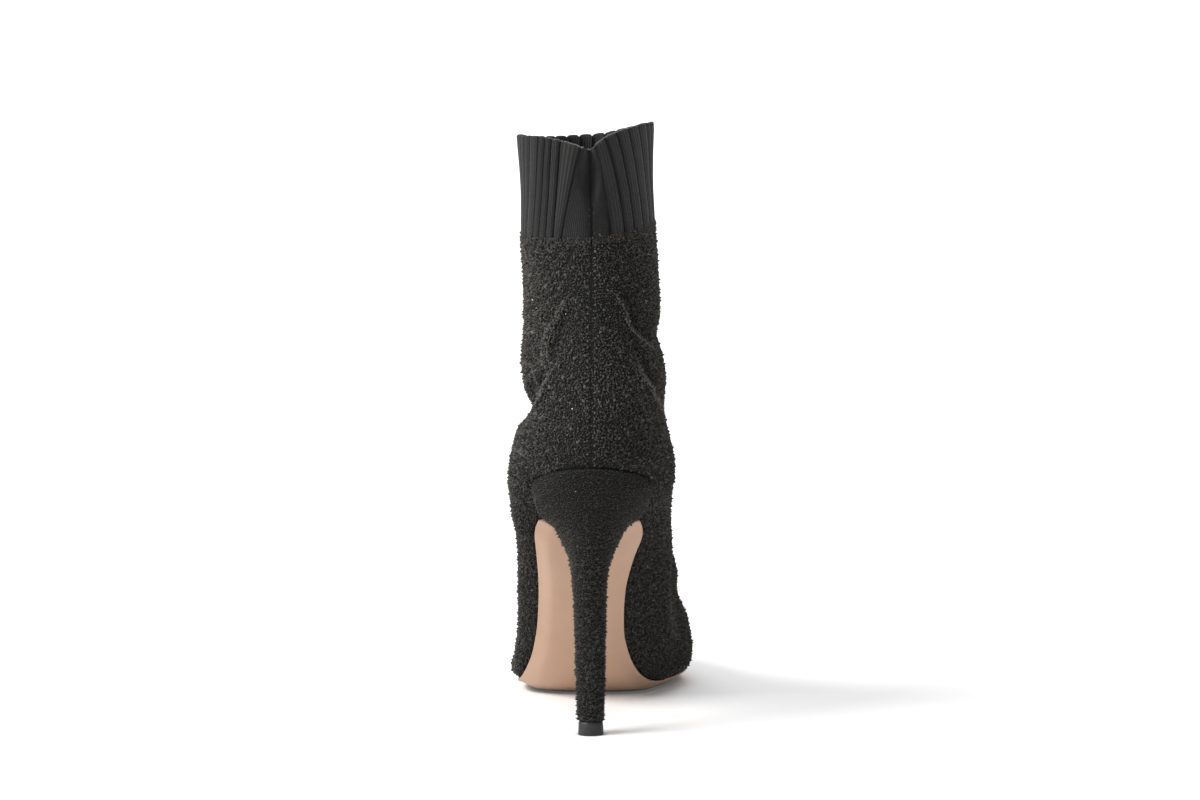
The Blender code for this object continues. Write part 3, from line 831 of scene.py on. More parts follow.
def nub_meshes(places, normals, size, lie, turn_spread):
    """Short bent strands that stand in the surface: points by strand, and the faces of one."""
    count = len(places)
    size = np.broadcast_to(size, (count,))[:, None]
    turn = rng.normal(lie, turn_spread, (count, 1))
    lean = rng.normal(0, NUB_LEAN, (count, 1))
    scale = size * rng.uniform(*NUB_SCALES, (count, 1))
    helper = np.where(np.abs(normals[:, 2:]) > NEARLY_LEVEL, (0.0, 1.0, 0.0), (0.0, 0.0, 1.0))
    first = unit(np.cross(helper, normals))
    second = np.cross(normals, first)
    along = first * np.cos(turn) + second * np.sin(turn)
    up = normals * np.cos(lean) + np.cross(normals, along) * np.sin(lean)
    side = np.cross(along, up)
    rings = []
    for forward, rise, thickness in NUB_RINGS:
        centre = places + scale * (along * forward + up * rise) + rng.normal(0, NUB_WOBBLE, (count, 3))
        for angle in np.radians(NUB_SIDES):
            outwards = up * math.sin(angle) + side * math.cos(angle)
            rings.append(centre + scale * thickness * NUB_RADIUS * outwards)
    sides = len(NUB_SIDES)
    quads = grid_faces(len(NUB_RINGS), sides).reshape(-1, 4)
    ring = np.arange(sides)
    caps = np.array([ring[::-1], ring + (len(NUB_RINGS) - 1) * sides])
    return np.stack(rings, axis=1), quads, caps


def add_nubs(name, places, normals, size, shades, material, slot, lie=UPRIGHT, turn_spread=NUB_TURN):
    """Strands of yarn over a surface, in as many pieces as they need."""
    points, quads, caps = nub_meshes(places, normals, size, lie, turn_spread)
    # painted highlight on each strand's top vertices and painted shade on the others
    painted_light_by_side = np.tile(STRAND_PAINTED_HIGHLIGHT_AND_SHADE, len(NUB_RINGS))
    shades = shades[:, None]
    values = np.where(shades > LINT_SHADE, shades, (shades + painted_light_by_side).clip(0, LIGHTEST))
    each = points.shape[1]
    pieces = math.ceil(len(points) / MOST_IN_A_PIECE)
    for k, part in enumerate(np.array_split(np.arange(len(points)), pieces)):
        shift = np.arange(len(part))[:, None, None] * each
        groups = [(quads + shift).reshape(-1, 4), (caps + shift).reshape(-1, len(NUB_SIDES))]
        full_name = f"{name}_{k + 1}" if pieces > 1 else name
        piece = new_piece(full_name, points[part], groups, material, slot)
        vertex_values(piece, "shade", values[part])


MEAN_SHADE = 0.34
BEHIND_FADE = 24  # over which the back's zones fade out on the sides
COARSE_FROM, COARSE_FADE = -5, 14  # x where the lateral side's coarser knit starts, and how it grows
COARSE_SIZE, COARSE_SPREAD = 0.14, 0.25
FINE_AT, FINE_REACH = (4, 173), (10, 9)  # x and height of the finer knit below the cuff
FINE_SIZE, FINE_SPREAD = 0.22, 0.4
ANKLE_AT, ANKLE_REACH, ANKLE_PAINTED_LIGHT = 143, 13, 0.09  # height, reach and strength of the painted light on the ankle's bulge
ANKLE_FROM, ANKLE_FADE = -24, 22  # x where it starts, and how it grows
FOOT_FROM, FOOT_FADE, FOOT_PAINTED_SHADE = 126, 20, -0.1  # height below which painted shade darkens the foot's knit


def yarn_shades(count):
    return rng.beta(*YARN_BETA, count) * YARN_LIGHTEST


def seam_stitches(tree, low, high):
    """Places of the stitches on both sides of the back seam, and the normals there."""
    stitches = []
    for height in np.arange(low, high, STITCH_PITCH):
        for side in (-1, 1):
            across = SEAM_X + side * STITCH_ASIDE
            stitches.append(from_behind(tree, across, height + side * STITCH_STAGGER))
    return np.swapaxes(stitches, 0, 1)


def add_lint(tree, places, shades, lint):
    """Turns the strands nearest to some spots on the back pale."""
    for across, height, shade in lint:
        spot = from_behind(tree, across, height)[0]
        shades[nearest_distance(spot[None], places)[1]] = shade


def inside(places, outline):
    """Which places lie inside a closed outline, in plan."""
    x, y = places[..., 0], places[..., 1]
    found = np.zeros(x.shape, bool)
    for (x0, y0), (x1, y1) in zip(outline, np.roll(outline, -1, axis=0)):
        crosses = (y0 > y) != (y1 > y)
        with np.errstate(divide="ignore", invalid="ignore"):
            left = x < (x1 - x0) * (y - y0) / (y1 - y0) + x0
        found ^= crosses & left
    return found


def heel_share(along):
    """How far a y lies from the back of the heel's rim to its front."""
    return (along - HEEL_RIM.back_y) / (HEEL_RIM.front_y - HEEL_RIM.back_y)


def bare_quads(indices, points, heel_rim):
    """Which of the upper's quads carry no boucle, because the sole or the heel covers them."""
    middle = points.reshape(-1, 3)[grid_faces(*points.shape[:2])].mean(axis=2)
    lateral = np.arange(2 * HALF_COLUMNS) >= HALF_COLUMNS
    shown = np.round(SHOWN_COLUMNS * sole_drop(indices[:-1]))[:, None] * lateral[None]
    share = (from_keel()[None] + 0.5 + shown) / SOLE_COLUMNS
    under_sole = (share < 1) & (indices[:-1, None] < read_pairs(SOLE_END, share))
    rim_rise = (HEEL_RIM.front_z - HEEL_RIM.back_z) * heel_share(middle[:, :, 1])
    is_low = middle[:, :, 2] < HEEL_RIM.back_z + rim_rise + UNDER_COVER
    return under_sole | (inside(middle[:, :, :2], heel_rim[:, :2]) & is_low)


def knit_zones(places):
    """How far each place lies in the coarse lateral side, the fine middle of the shaft and the ankle's
    painted light.
    """
    x, y, z = places.T
    behind = ease((CREASE_AXIS - y) / BEHIND_FADE + 0.5)
    coarse = behind * ease((COARSE_FROM - x) / COARSE_FADE)
    fine = behind * bell(x - FINE_AT[0], FINE_REACH[0]) * bell(z - FINE_AT[1], FINE_REACH[1])
    ankle = behind * bell(z - ANKLE_AT, ANKLE_REACH) * ease((x - ANKLE_FROM) / ANKLE_FADE)
    return coarse, fine, ankle


def add_boucle(indices, points, heel_rim, lines, material):
    """Strands over the foot and shaft, with the back seam's stitches and some lint."""
    keep = ~bare_quads(indices, points, heel_rim)
    places, normals = scatter(points, keep, NUB_SPACING)
    behind = (places[:, 1] < CREASE_AXIS) & (places[:, 2] > HEEL_RIM.back_z)
    clear_of_seam = ~(behind & (np.abs(places[:, 0] - SEAM_X) < SEAM_CLEAR))
    clear_of_heel = nearest_distance(places, heel_rim)[0] > HEEL_CLEAR
    kept = clear_of_seam & clear_of_heel
    places, normals = places[kept], normals[kept]
    sharp = [line for line in lines if line[0].out < 0 or line[0].width < SHARP_WIDTH]
    lift = crease_height(places, sharp)
    coarse, fine, ankle = knit_zones(places)
    contrast = 1 + COARSE_SPREAD * coarse - FINE_SPREAD * fine
    spread_out = (yarn_shades(len(places)) - MEAN_SHADE) * contrast
    # painted shade darkens the foot's knit low down, near the floor
    low = ease((FOOT_FROM - places[:, 2]) / FOOT_FADE)
    # painted light on the ankle's upward-facing bulge
    shades = MEAN_SHADE + spread_out + ANKLE_PAINTED_LIGHT * ankle + FOOT_PAINTED_SHADE * low
    # painted highlight on sharp ridges and painted shade in troughs
    shades += RIDGE_PAINTED_HIGHLIGHT * lift.clip(0, MOST_LIFT) + TROUGH_PAINTED_SHADE * lift.clip(-MOST_LIFT, 0)
    shades = shades.clip(0, LINT_SHADE)
    tree = surface_tree(points)
    add_lint(tree, places, shades, LINT)
    stitches, facing = seam_stitches(tree, STITCH_FROM, SHAFT_HEIGHT)
    sizes = 1 + COARSE_SIZE * coarse - FINE_SIZE * fine
    sizes *= np.where(rng.uniform(0, 1, len(sizes)) < LOOP_SHARE, LOOP_SIZE, 1)
    by_seam = (places[:, 1] < CREASE_AXIS) & (np.abs(places[:, 0] - SEAM_X) < SEAM_CALM)
    sizes[by_seam] = SEAM_CALM_SIZE
    sizes[shades > LINT_SHADE] = LINT_SIZE
    sizes = np.concatenate([sizes, np.full(len(stitches), STITCH_SIZE)])
    shades = np.concatenate([shades, rng.uniform(*STITCH_SHADES, len(stitches))])
    places, normals = np.vstack([places, stitches]), np.vstack([normals, facing])
    add_nubs("boucle_knit", places, normals, sizes, shades, material, "boucle_knit")
    add_cords(tree, lines, material)


def add_cords(tree, lines, material):
    """Strands in a row along the top of each sharp ridge, lighter towards its middle with a painted
    highlight.
    """
    places, normals, lies, shades = [], [], [], []
    for crease, line, taper in lines:
        if crease.out < 0 or crease.width > CORD_WIDTH:
            continue
        run = run_of(line)
        marks = np.arange(0, run[-1], CORD_PITCH)
        spots = along_line(line, run, marks)
        forward = unit(np.gradient(spots, axis=0))
        for spot, ahead, light in zip(spots, forward, np.interp(marks, run, taper)):
            place, normal, _, _ = tree.find_nearest(Vector(spot))
            level = Vector((0, 0, 1)).cross(normal).normalized()
            ahead = Vector(ahead)
            places.append(place)
            normals.append(normal)
            lies.append(math.atan2(ahead.dot(normal.cross(level)), ahead.dot(level)))
            # painted highlight: cords are lighter towards a ridge's middle
            shades.append(CORD_SHADES_AND_PAINTED_HIGHLIGHT[0] + CORD_SHADES_AND_PAINTED_HIGHLIGHT[1] * light)
    places, normals, lies = np.array(places), np.array(normals), np.array(lies)[:, None]
    shades = np.array(shades) + rng.normal(0, CORD_UNEVEN, len(places))
    ways = (lies, CORD_TURN)
    add_nubs("boucle_ridges", places, normals, CORD_SIZE, shades, material, "boucle_knit", *ways)


# Heel, sole and insole

# The cover is drawn in more than the heel's frame below its rim, and it leans to the lateral side
COVER_SECTIONS = (
    *HEEL_SECTIONS[:3],
    HEEL_SECTIONS[3]._replace(half=6.1),
    HEEL_SECTIONS[4]._replace(half=7.4),
    HEEL_SECTIONS[5]._replace(half=10.5),
    HEEL_SECTIONS[6]._replace(half=15.4, widest=42, front_power=2.0),
    HEEL_SECTIONS[7],
)
HEEL_LEAN = ((0, -0.6), (30, -0.8), (60, -1.1), (85, -0.9), (104, 0))  # height and shift in x
HEEL_ROWS = 56
HEEL_COLUMNS = 96
HEEL_GROUND = 0.1  # how far the heel's ground lies below the frame's surface
HEEL_LIP = 0.9  # how far the cover's edge stands out from the upper
# Rings of its edge: how far each stands out, and how far up to the rim it is
HEEL_LIP_RINGS = ((0.55, 0.0), (1.0, 0.35), (1.0, 0.75), (0.6, 1.0), (0.0, 1.0))
HEEL_LIP_FOOT = 0.55  # where the first one lies between the cover's last section and the rim
BARE_RINGS = 2  # the last of them, which aren't sunk and carry no strands
HEEL_CUP_GAP = 0.9
HEEL_CUP_RINGS = (0.9, 0.7, 0.45, 0.2)
HEEL_NUB_SPACING = 0.95
HEEL_NUB_SIZES = (0.85, 0.76)  # on the stem and on the cup
HEEL_CUP_HEIGHTS = (70, 92)  # between which the knit changes from one to the other
HEEL_NUB_TURN = 0.4
HEEL_SHADE = 0.6  # how much darker and less varied its strands' shades are than the upper's
BIG_SHARE, BIG_SIZE = 0.2, 1.75  # strands of the stem that stand out
# How far the cover's seam lies above the rim at the back, and how much more at the sides
SEAT_LIFT, SEAT_FLAT = 1.1, 1.6
SEAT_FROM, SEAT_OVER = 0.25, 0.35  # shares of the rim's length where its arc turns into its plan


def heel_ring(row, columns):
    """A closed heel section, from its back point up one side to the front and down the other."""
    back_y, back_z, front_y, front_z, half, widest, back_power, front_power = row
    up, out = half_section(widest / 100, back_power, front_power)
    y = back_y + (front_y - back_y) * up
    z = back_z + (front_z - back_z) * up
    line = np.column_stack([half * out, y, z])
    run = run_of(line)
    side = along_line(line, run, np.linspace(0, run[-1], columns // 2 + 1))
    other = side[-2:0:-1] * np.array([-1, 1, 1])
    return np.vstack([side, other])


def lean(ring):
    """Shifts a ring of the heel to the lateral side."""
    ring[:, 0] += read_pairs(HEEL_LEAN, ring[:, 2])
    return ring


def seat_heel_rim(tree):
    """The rim of the heel's cover on the upper, and how it stands out there.

    Its back is the arc seen from behind; its front is its plan, where it lies flat.
    """
    places, lips = [], []
    for point in heel_ring(HEEL_RIM, HEEL_COLUMNS):
        below = ease((heel_share(point[1]) - SEAT_FROM) / SEAT_OVER)
        height = point[2] + SEAT_LIFT + SEAT_FLAT * (point[0] / HEEL_RIM.half) ** 2
        behind_place, behind_normal = from_behind(tree, point[0], height)
        below_place, _ = from_below(tree, point[0], point[1])
        places.append(behind_place + (below_place - behind_place) * below)
        lips.append(behind_normal * (1 - below) * HEEL_LIP)
    return np.array(places), np.array(lips)


def heel_surface(tree, rim, lips):
    """Rings of the covered heel from its tip to its rim, then across the cup under the seat."""
    rows = np.linspace(0, len(COVER_SECTIONS) - 1, HEEL_ROWS)
    rings = [lean(heel_ring(row, HEEL_COLUMNS)) for row in smooth_rows(COVER_SECTIONS, rows)]
    lowest = rings[-1]
    for out, up in HEEL_LIP_RINGS:
        foot = lowest + (rim + lips - lowest) * (HEEL_LIP_FOOT + (1 - HEEL_LIP_FOOT) * up)
        rings.append(foot + lips * (out - 1) * up)
    covered = len(rings)
    plan = heel_ring(HEEL_RIM, HEEL_COLUMNS)
    middle = plan.mean(axis=0)
    for share in HEEL_CUP_RINGS:
        ring = []
        for point in middle + (plan - middle) * share:
            place, normal = from_below(tree, point[0], point[1])
            ring.append(place + normal * HEEL_CUP_GAP)
        rings.append(np.array(ring))
    return np.array(rings), covered


def add_heel(tree, rim, lips, ground, yarn):
    """The covered heel: its ground and the strands over it."""
    rings, covered = heel_surface(tree, rim, lips)
    knit = slice(covered - BARE_RINGS)
    rings[knit] -= outward_normals(rings)[knit] * HEEL_GROUND
    new_piece("heel_ground", *capped_rings(rings), ground, "heel_cover", "heel")
    keep = np.zeros((len(rings) - 1, HEEL_COLUMNS))
    keep[knit] = 1
    places, facing = scatter(rings, keep, HEEL_NUB_SPACING)
    low, high = HEEL_CUP_HEIGHTS
    on_cup = ease((places[:, 2] - low) / (high - low))
    sizes = HEEL_NUB_SIZES[0] + (HEEL_NUB_SIZES[1] - HEEL_NUB_SIZES[0]) * on_cup
    stands_out = rng.uniform(0, 1, len(places)) < BIG_SHARE * (1 - on_cup)
    sizes = sizes * np.where(stands_out, BIG_SIZE, 1)
    shades = yarn_shades(len(places)) * HEEL_SHADE
    add_lint(surface_tree(rings[:covered]), places, shades, HEEL_LINT)
    add_nubs("boucle_heel", places, facing, sizes, shades, yarn, "heel_cover", 0, HEEL_NUB_TURN)


SOLE_ROWS = 84
# Where the sole ends beside the heel: share of the way from its middle to its edge, and section
SOLE_END = (
    (0, 11),
    (0.4, 11.05),
    (0.6, 11.2),
    (0.72, 11.24),
    (0.82, 11.235),
    (0.89, 11.21),
    (0.94, 11.165),
    (0.98, 11.09),
    (1.0, 10.98),
)
SOLE_EARS = 2.8  # how much wider it is there
SOLE_EARS_AT = 11.3
SOLE_EARS_REACH = 0.4
SOLE_MARK = 10.78  # section at which a faint line crosses the sole
SOLE_MARK_WIDTH = 0.05
SOLE_MARK_DEPTH = 0.3
FEATHER_FROM, FEATHER_SHARE = 0.45, 0.72  # where the sole starts to thin towards its edge, and how much
SOLE_BEVEL = 0.25
# How much wider its lateral side is and how much lower its lateral edge, at which section and how far on
SOLE_SPREAD, SOLE_SPREAD_AT, SOLE_SPREAD_REACH = 1.9, 6.6, 1.1
SOLE_DROP, SOLE_DROP_AT, SOLE_DROP_REACH = 2.2, 6.0, 1.2
SHOWN_COLUMNS = 1.3  # columns of the upper that a millimetre of this drop uncovers
SOLE_EDGE = 0.4  # least height of its upper face
CONTACT_SHADOW_HEIGHT = 2.4  # below which the sole's leather is darkened by a painted shadow of its contact with the floor
INSOLE_BEVEL = 0.5
BEVEL_ANGLE = 40


def plate_faces(rows, columns):
    faces = grid_faces(rows, columns, closed=False).reshape(-1, 4)
    shift = rows * columns
    return np.vstack([faces, faces[:, ::-1] + shift, rim_faces(border_edges(faces), shift)])


def add_bevel(piece, width, segments):
    bevel = piece.modifiers.new("edge", "BEVEL")
    bevel.width = width * MM
    bevel.segments = segments
    bevel.limit_method = "ANGLE"
    bevel.angle_limit = math.radians(BEVEL_ANGLE)


def under_columns():
    return np.arange(-SOLE_COLUMNS, SOLE_COLUMNS + 1) % (2 * HALF_COLUMNS)


def sole_drop(index):
    """How much lower the sole's lateral edge lies than the frame's, at a section."""
    return SOLE_DROP * bell(index - SOLE_DROP_AT, SOLE_DROP_REACH)


def add_outsole(material):
    """The leather sole, with rounded corners beside the heel."""
    first, last = OUTSOLE_ROWS
    indices = np.linspace(first, last + 1, SOLE_ROWS)
    surface = lattice(indices)
    normals = outward_normals(surface)
    surface, normals = surface[:, under_columns()], normals[:, under_columns()]
    column = np.linspace(-1, 1, surface.shape[1])
    corners = read_pairs(SOLE_END, np.abs(column)) - last
    rows = np.linspace(first, last, SOLE_ROWS)
    reach = rows[:, None] + corners[None] * ease(rows - last + 1)[:, None]
    at = (reach - first) / (indices[1] - indices[0])
    start = np.minimum(at.astype(int), SOLE_ROWS - 2)
    share = (at - start)[:, :, None]
    across = np.arange(surface.shape[1])[None]
    lying = surface[start, across] * (1 - share) + surface[start + 1, across] * share
    facing = unit(normals[start, across] * (1 - share) + normals[start + 1, across] * share)
    ears = SOLE_EARS * bell(reach - SOLE_EARS_AT, SOLE_EARS_REACH)
    lying[:, :, 0] += ears * column**2 * np.sign(column)
    wider = SOLE_SPREAD * bell(reach - SOLE_SPREAD_AT, SOLE_SPREAD_REACH)
    lying[:, :, 0] -= wider * np.minimum(column, 0) ** 2
    lying[:, :, 2] -= sole_drop(reach) * np.minimum(column, 0) ** 4
    mark = SOLE_MARK_DEPTH * bell(rows - SOLE_MARK, SOLE_MARK_WIDTH)
    top = lying + facing * GAP
    top[:, :, 2] = np.maximum(top[:, :, 2], SOLE_EDGE)
    thin = ease((np.abs(column) - FEATHER_FROM) / (1 - FEATHER_FROM)) * FEATHER_SHARE
    depth = OUTSOLE_THICKNESS * (1 - thin)[None] - mark[:, None]
    tread = lying + facing * (GAP + depth)[:, :, None]
    tread[:, :, 2] = np.maximum(tread[:, :, 2], 0)
    faces = plate_faces(*top.shape[:2])
    places = np.concatenate([tread, top])
    sole = new_piece("sole_leather", places, [faces], material, "nude_leather", "outsole")
    # painted shadow darkens the sole near the floor
    vertex_values(sole, "painted_contact_shadow", ease((CONTACT_SHADOW_HEIGHT - places[:, :, 2]) / CONTACT_SHADOW_HEIGHT))
    add_bevel(sole, SOLE_BEVEL, segments=3)


def add_insole(indices, base, normals, material):
    patch = np.ix_(np.flatnonzero(in_rows(indices, INSOLE_ROWS)), under_columns())
    low = base[patch] - normals[patch] * (UPPER_WALL + GAP)
    top = low - normals[patch] * INSOLE_THICKNESS
    faces = plate_faces(*top.shape[:2])
    sock = new_piece("insole_sock", np.concatenate([low, top]), [faces], material, "lining", "insole")
    add_bevel(sock, INSOLE_BEVEL, segments=2)


TOP_LIFT_RINGS = ((0, 0.93), (0, 0.985), (0.35, 1), (1.5, 0.985), (4.6, 0.955), (5.1, 0.93), (5.5, 0.88))


def add_top_lift(material):
    """The rubber tip, from its floor face up, as rings of height and size."""
    under_heel = heel_ring(HEEL_SECTIONS[0], HEEL_COLUMNS)
    middle = under_heel.mean(axis=0)
    rings = []
    for height, size in TOP_LIFT_RINGS:
        ring = middle + (under_heel - middle) * TOP_LIFT_FLARE * size
        ring[:, 2] = height
        rings.append(lean(ring))
    new_piece("rubber_tip", *capped_rings(np.array(rings)), material, "black_rubber", "top_lift")


# Cuff. Its ribs lean towards the back seam, which draws the rim down and leaves a hollow under it.

# Grooves between the ribs on the back, as x at the cuff's foot and at its rim, outwards from the seam
Groove = namedtuple("Groove", "foot rim")
SEAM_GROOVE = Groove(0.2, -0.8)
MEDIAL_GROOVES = rows_of(
    Groove,
    (7.8, 1.6),
    (13.5, 6.0),
    (17.2, 10.4),
    (20.7, 14.8),
    (23.1, 18.7),
    (24.3, 21.6),
)
LATERAL_GROOVES = rows_of(
    Groove,
    (-12.7, -4.4),
    (-15.9, -12.8),
    (-19.0, -16.3),
    (-21.8, -19.0),
    (-24.1, -21.6),
    (-26.6, -25.0),
)
FRONT_RIBS = 28  # the ribs that the grooves above leave out
# Height of the rim by x, on its back half and on its front half
RIM_BACK = (
    (-31, 235.0),
    (-26, 236.2),
    (-20.7, 236.7),
    (-11.5, 235.2),
    (-5.3, 233.5),
    (-0.8, 231.7),
    (1.7, 233.9),
    (5.6, 236.8),
    (10.5, 238.8),
    (14.8, 239.9),
    (21.3, 241.2),
    (24, 240.4),
    (26, 239),
)
RIM_FRONT = (
    (-31, 235.0),
    (-28, 233.2),
    (-22, 232.1),
    (-14, 231.9),
    (-0.6, 232.5),
    (5.7, 233.4),
    (13.4, 235.6),
    (20, 237.6),
    (26, 239),
)
Fold = namedtuple("Fold", "rise depth half")  # the hollow at the seam, by share of the cuff's height
FOLD = rows_of(
    Fold,
    (0.0, 0.3, 1.2),
    (0.3, 0.6, 1.4),
    (0.45, 1.7, 2.2),
    (0.62, 4.2, 3.4),
    (0.8, 5.0, 3.4),
    (1.0, 4.4, 1.4),
)
FOLD_STEEPNESS = 2.6
FADING_GROOVE = 1  # the groove that runs out below the hollow
SOFT_GROOVE, SOFTNESS = -2, 0.55  # the groove on the hollow's other side, and its depth against others
FADE_FROM, FADE_OVER = 0.12, 0.25
MEDIAL_BEND, LATERAL_BEND = 1.45, 1.05  # how much the ribs bend between foot and rim
MEDIAL_TO, MEDIAL_FADE = 0.6, 0.2
RIB_WALES = 5  # lines of stitches on a rib
SEAM_WALES = 15  # and on each of the two panels beside the seam
WALE_COLUMNS = 4
WALE_DEPTH = 0.38
WALE_PAINTED_SHADE = 0.5
CUFF_ROWS = 44
INNER_ROWS = 16
LIP_ROWS = 4
GROOVE_DEPTH = 0.85
GROOVE_WIDTH = 0.52
SEAM_GROOVE_DEPTH = 0.6
CROWN = 0.5  # how much a rib's middle stands above its edges
COURSES = 62
RIM_SCALLOP, SCALLOP_POWER = 0.55, 6  # how ribs stand up at the rim, and how close to it
WALL_FOLLOWS = 0.5  # how much of a groove's depth shows on the wall's inside
LIP_RISE = 0.4  # height of the rounded rim, of its wall
OUTSIDE_SHADE = 0.62  # the cuff's lightest outside
INSIDE_PAINTED_LIGHT, INSIDE_CONTRAST = 0.5, 0.45  # painted light that makes its inside lighter, and how much of the grooves' painted shade stays there


def cuff_line(rise):
    """The cuff's outline at a share of its height: a closed line from the back round the medial side."""
    index = SHAFT_TOP + (RIM - SHAFT_TOP) * rise
    medial, lateral = section_at(smooth_rows(SECTIONS, index)[0])
    return np.vstack([medial, lateral[-2::-1]])


def share_across(line, across):
    """Share of the outline's length at which its back half passes an x."""
    run = run_of(line)
    x = line[:, 0]
    if across >= x[0]:
        back = slice(0, x.argmax() + 1)
    else:
        back = slice(x.argmin(), None)
    return np.interp(across, x[back], run[back]) / run[-1]


def rim_heights(line):
    """Heights of the rim round its outline."""
    x = line[:, 0]
    number = np.arange(len(line))
    in_front = (number > x.argmax()) & (number < x.argmin())
    return np.where(in_front, read_pairs(RIM_FRONT, x), read_pairs(RIM_BACK, x))


def groove_marks(line, place):
    """Shares of the outline at which the grooves are, from the seam all the way round to it."""
    sides = ((SEAM_GROOVE,), MEDIAL_GROOVES, LATERAL_GROOVES)
    (seam,), medial, lateral = (
        [share_across(line, getattr(groove, place)) for groove in side] for side in sides
    )
    others = np.linspace(medial[-1], lateral[-1], FRONT_RIBS + 1)[1:-1]
    return np.concatenate([[seam], medial, others, lateral[::-1], [seam + 1]])


def row_marks(rises, foot_marks, rim_marks):
    """Where the grooves are in each row. They bend more on the medial side."""
    medial = ease((MEDIAL_TO - foot_marks) / MEDIAL_FADE)
    bend = LATERAL_BEND + (MEDIAL_BEND - LATERAL_BEND) * medial
    return foot_marks + (rim_marks - foot_marks) * rises[:, None] ** bend


def cuff_heights(share, rise):
    """Heights at shares of the outline's length, between the cuff's foot and its rim."""
    heights = []
    for line, is_rim in ((cuff_line(0), False), (cuff_line(1), True)):
        run = run_of(line)
        height = rim_heights(line) if is_rim else line[:, 2] + ROLL * line[:, 0] + GAP
        heights.append(np.interp(share % 1 * run[-1], run, height))
    foot, rim = heights
    return foot + (rim - foot) * rise


def cuff_rows(rises, shares):
    """The cuff's outline before its ribs: points by row and column, with each row's length."""
    rows, lengths = [], []
    for rise, share in zip(rises, shares):
        line = cuff_line(rise)
        run = run_of(line)
        points = along_line(line, run, share % 1 * run[-1])
        points[:, 2] = cuff_heights(share, rise)
        from_seam = (share - share[0] + 0.5) % 1 - 0.5
        _, depth, half = smooth_at(FOLD, "rise", rise)[0]
        points[:, 1] += depth * np.exp(-np.abs(from_seam * run[-1] / half) ** FOLD_STEEPNESS)
        rows.append(points)
        lengths.append(run[-1])
    return np.array(rows), np.array(lengths)


def rib_inset(rises, widths, in_rib, number):
    """How far the rib knit stands in from its outline, by row and column."""
    depth = np.full((len(rises), number[-1] + 2), GROOVE_DEPTH)
    depth[:, [0, -1]] = SEAM_GROOVE_DEPTH
    depth[:, FADING_GROOVE] *= 1 - ease((rises - FADE_FROM) / FADE_OVER)
    depth[:, SOFT_GROOVE] *= SOFTNESS
    before = depth[:, number] * bell(in_rib * widths, GROOVE_WIDTH)
    after = depth[:, number + 1] * bell((1 - in_rib) * widths, GROOVE_WIDTH)
    return before + after + CROWN * (2 * in_rib - 1) ** 2


def add_cuff(rib, thread):
    """The ribbed cuff: its outside, its rounded rim and its inside, in one closed ring."""
    foot_marks = groove_marks(cuff_line(0), "foot")
    rim_marks = groove_marks(cuff_line(1), "rim")
    wales = np.full(len(foot_marks) - 1, RIB_WALES)
    wales[[0, -1]] = SEAM_WALES
    columns = wales * WALE_COLUMNS
    number = np.repeat(np.arange(len(columns)), columns)
    in_rib = np.concatenate([np.arange(n) / n for n in columns])
    rises = np.linspace(0, 1, CUFF_ROWS + 1)
    marks = row_marks(rises, foot_marks, rim_marks)
    shares = marks[:, number] + np.diff(marks, axis=1)[:, number] * in_rib
    outline, lengths = cuff_rows(rises, shares)
    normals = outward_normals(outline)
    widths = np.diff(marks, axis=1)[:, number] * lengths[:, None]
    inset = rib_inset(rises, widths, in_rib, number)
    furrow = (1 - np.cos(2 * math.pi * in_rib * wales[number])) / 2
    outer = outline - normals * (inset + WALE_DEPTH * (1 - furrow))[:, :, None]
    outer[:, :, 2] += (GROOVE_DEPTH - inset) * RIM_SCALLOP * (rises**SCALLOP_POWER)[:, None]
    wall = CUFF_WALL - inset * WALL_FOLLOWS
    lip = []
    for turn in np.linspace(0, math.pi, LIP_ROWS + 2)[1:-1]:
        inwards = wall[-1] * (1 - math.cos(turn)) / 2
        up = CUFF_WALL * LIP_RISE * math.sin(turn)
        lip.append(outer[-1] - normals[-1] * inwards[:, None] + np.array([0, 0, up]))
    picked = np.linspace(CUFF_ROWS, 0, INNER_ROWS + 1).round().astype(int)
    inner = outer[picked] - normals[picked] * wall[picked][:, :, None]
    rows = np.concatenate([outer, lip, inner])
    count = rows.shape[0] * rows.shape[1]
    faces = grid_faces(len(rows) + 1, rows.shape[1]).reshape(-1, 4) % count
    piece = new_piece("rib_knit", rows, [faces], rib, "rib_knit", "rib_cuff")

    order = np.concatenate([np.arange(CUFF_ROWS + 1), np.full(LIP_ROWS, CUFF_ROWS), picked])
    # painted shade: the deeper a place lies in a groove or between wales, the darker
    shade = (1 - inset / GROOVE_DEPTH) * (1 - WALE_PAINTED_SHADE * (1 - furrow))
    # painted light lifts the inside's shade and evens out its painted groove shade
    inside_rows = np.arange(len(order)) > CUFF_ROWS + LIP_ROWS
    contrast = np.where(inside_rows, INSIDE_CONTRAST, 1)[:, None]
    tone = shade[order].clip(0, 1) * OUTSIDE_SHADE * contrast + INSIDE_PAINTED_LIGHT * inside_rows[:, None]
    vertex_values(piece, "shade", tone)
    vertex_values(piece, "course", np.broadcast_to(rises[order][:, None] * COURSES, rows.shape[:2]))
    add_rim_thread(outer[-1], normals[-1], thread)
    return outline, normals


THREAD_RADIUS = 0.21
THREAD_SIDES = 6
THREAD_WOBBLE = 0.1
THREAD_REACH = (-19, 17)  # x between which the thread shows on the rim's back
THREAD_IN, THREAD_UP = 0.35, 0.4  # its place on the rim, of the wall


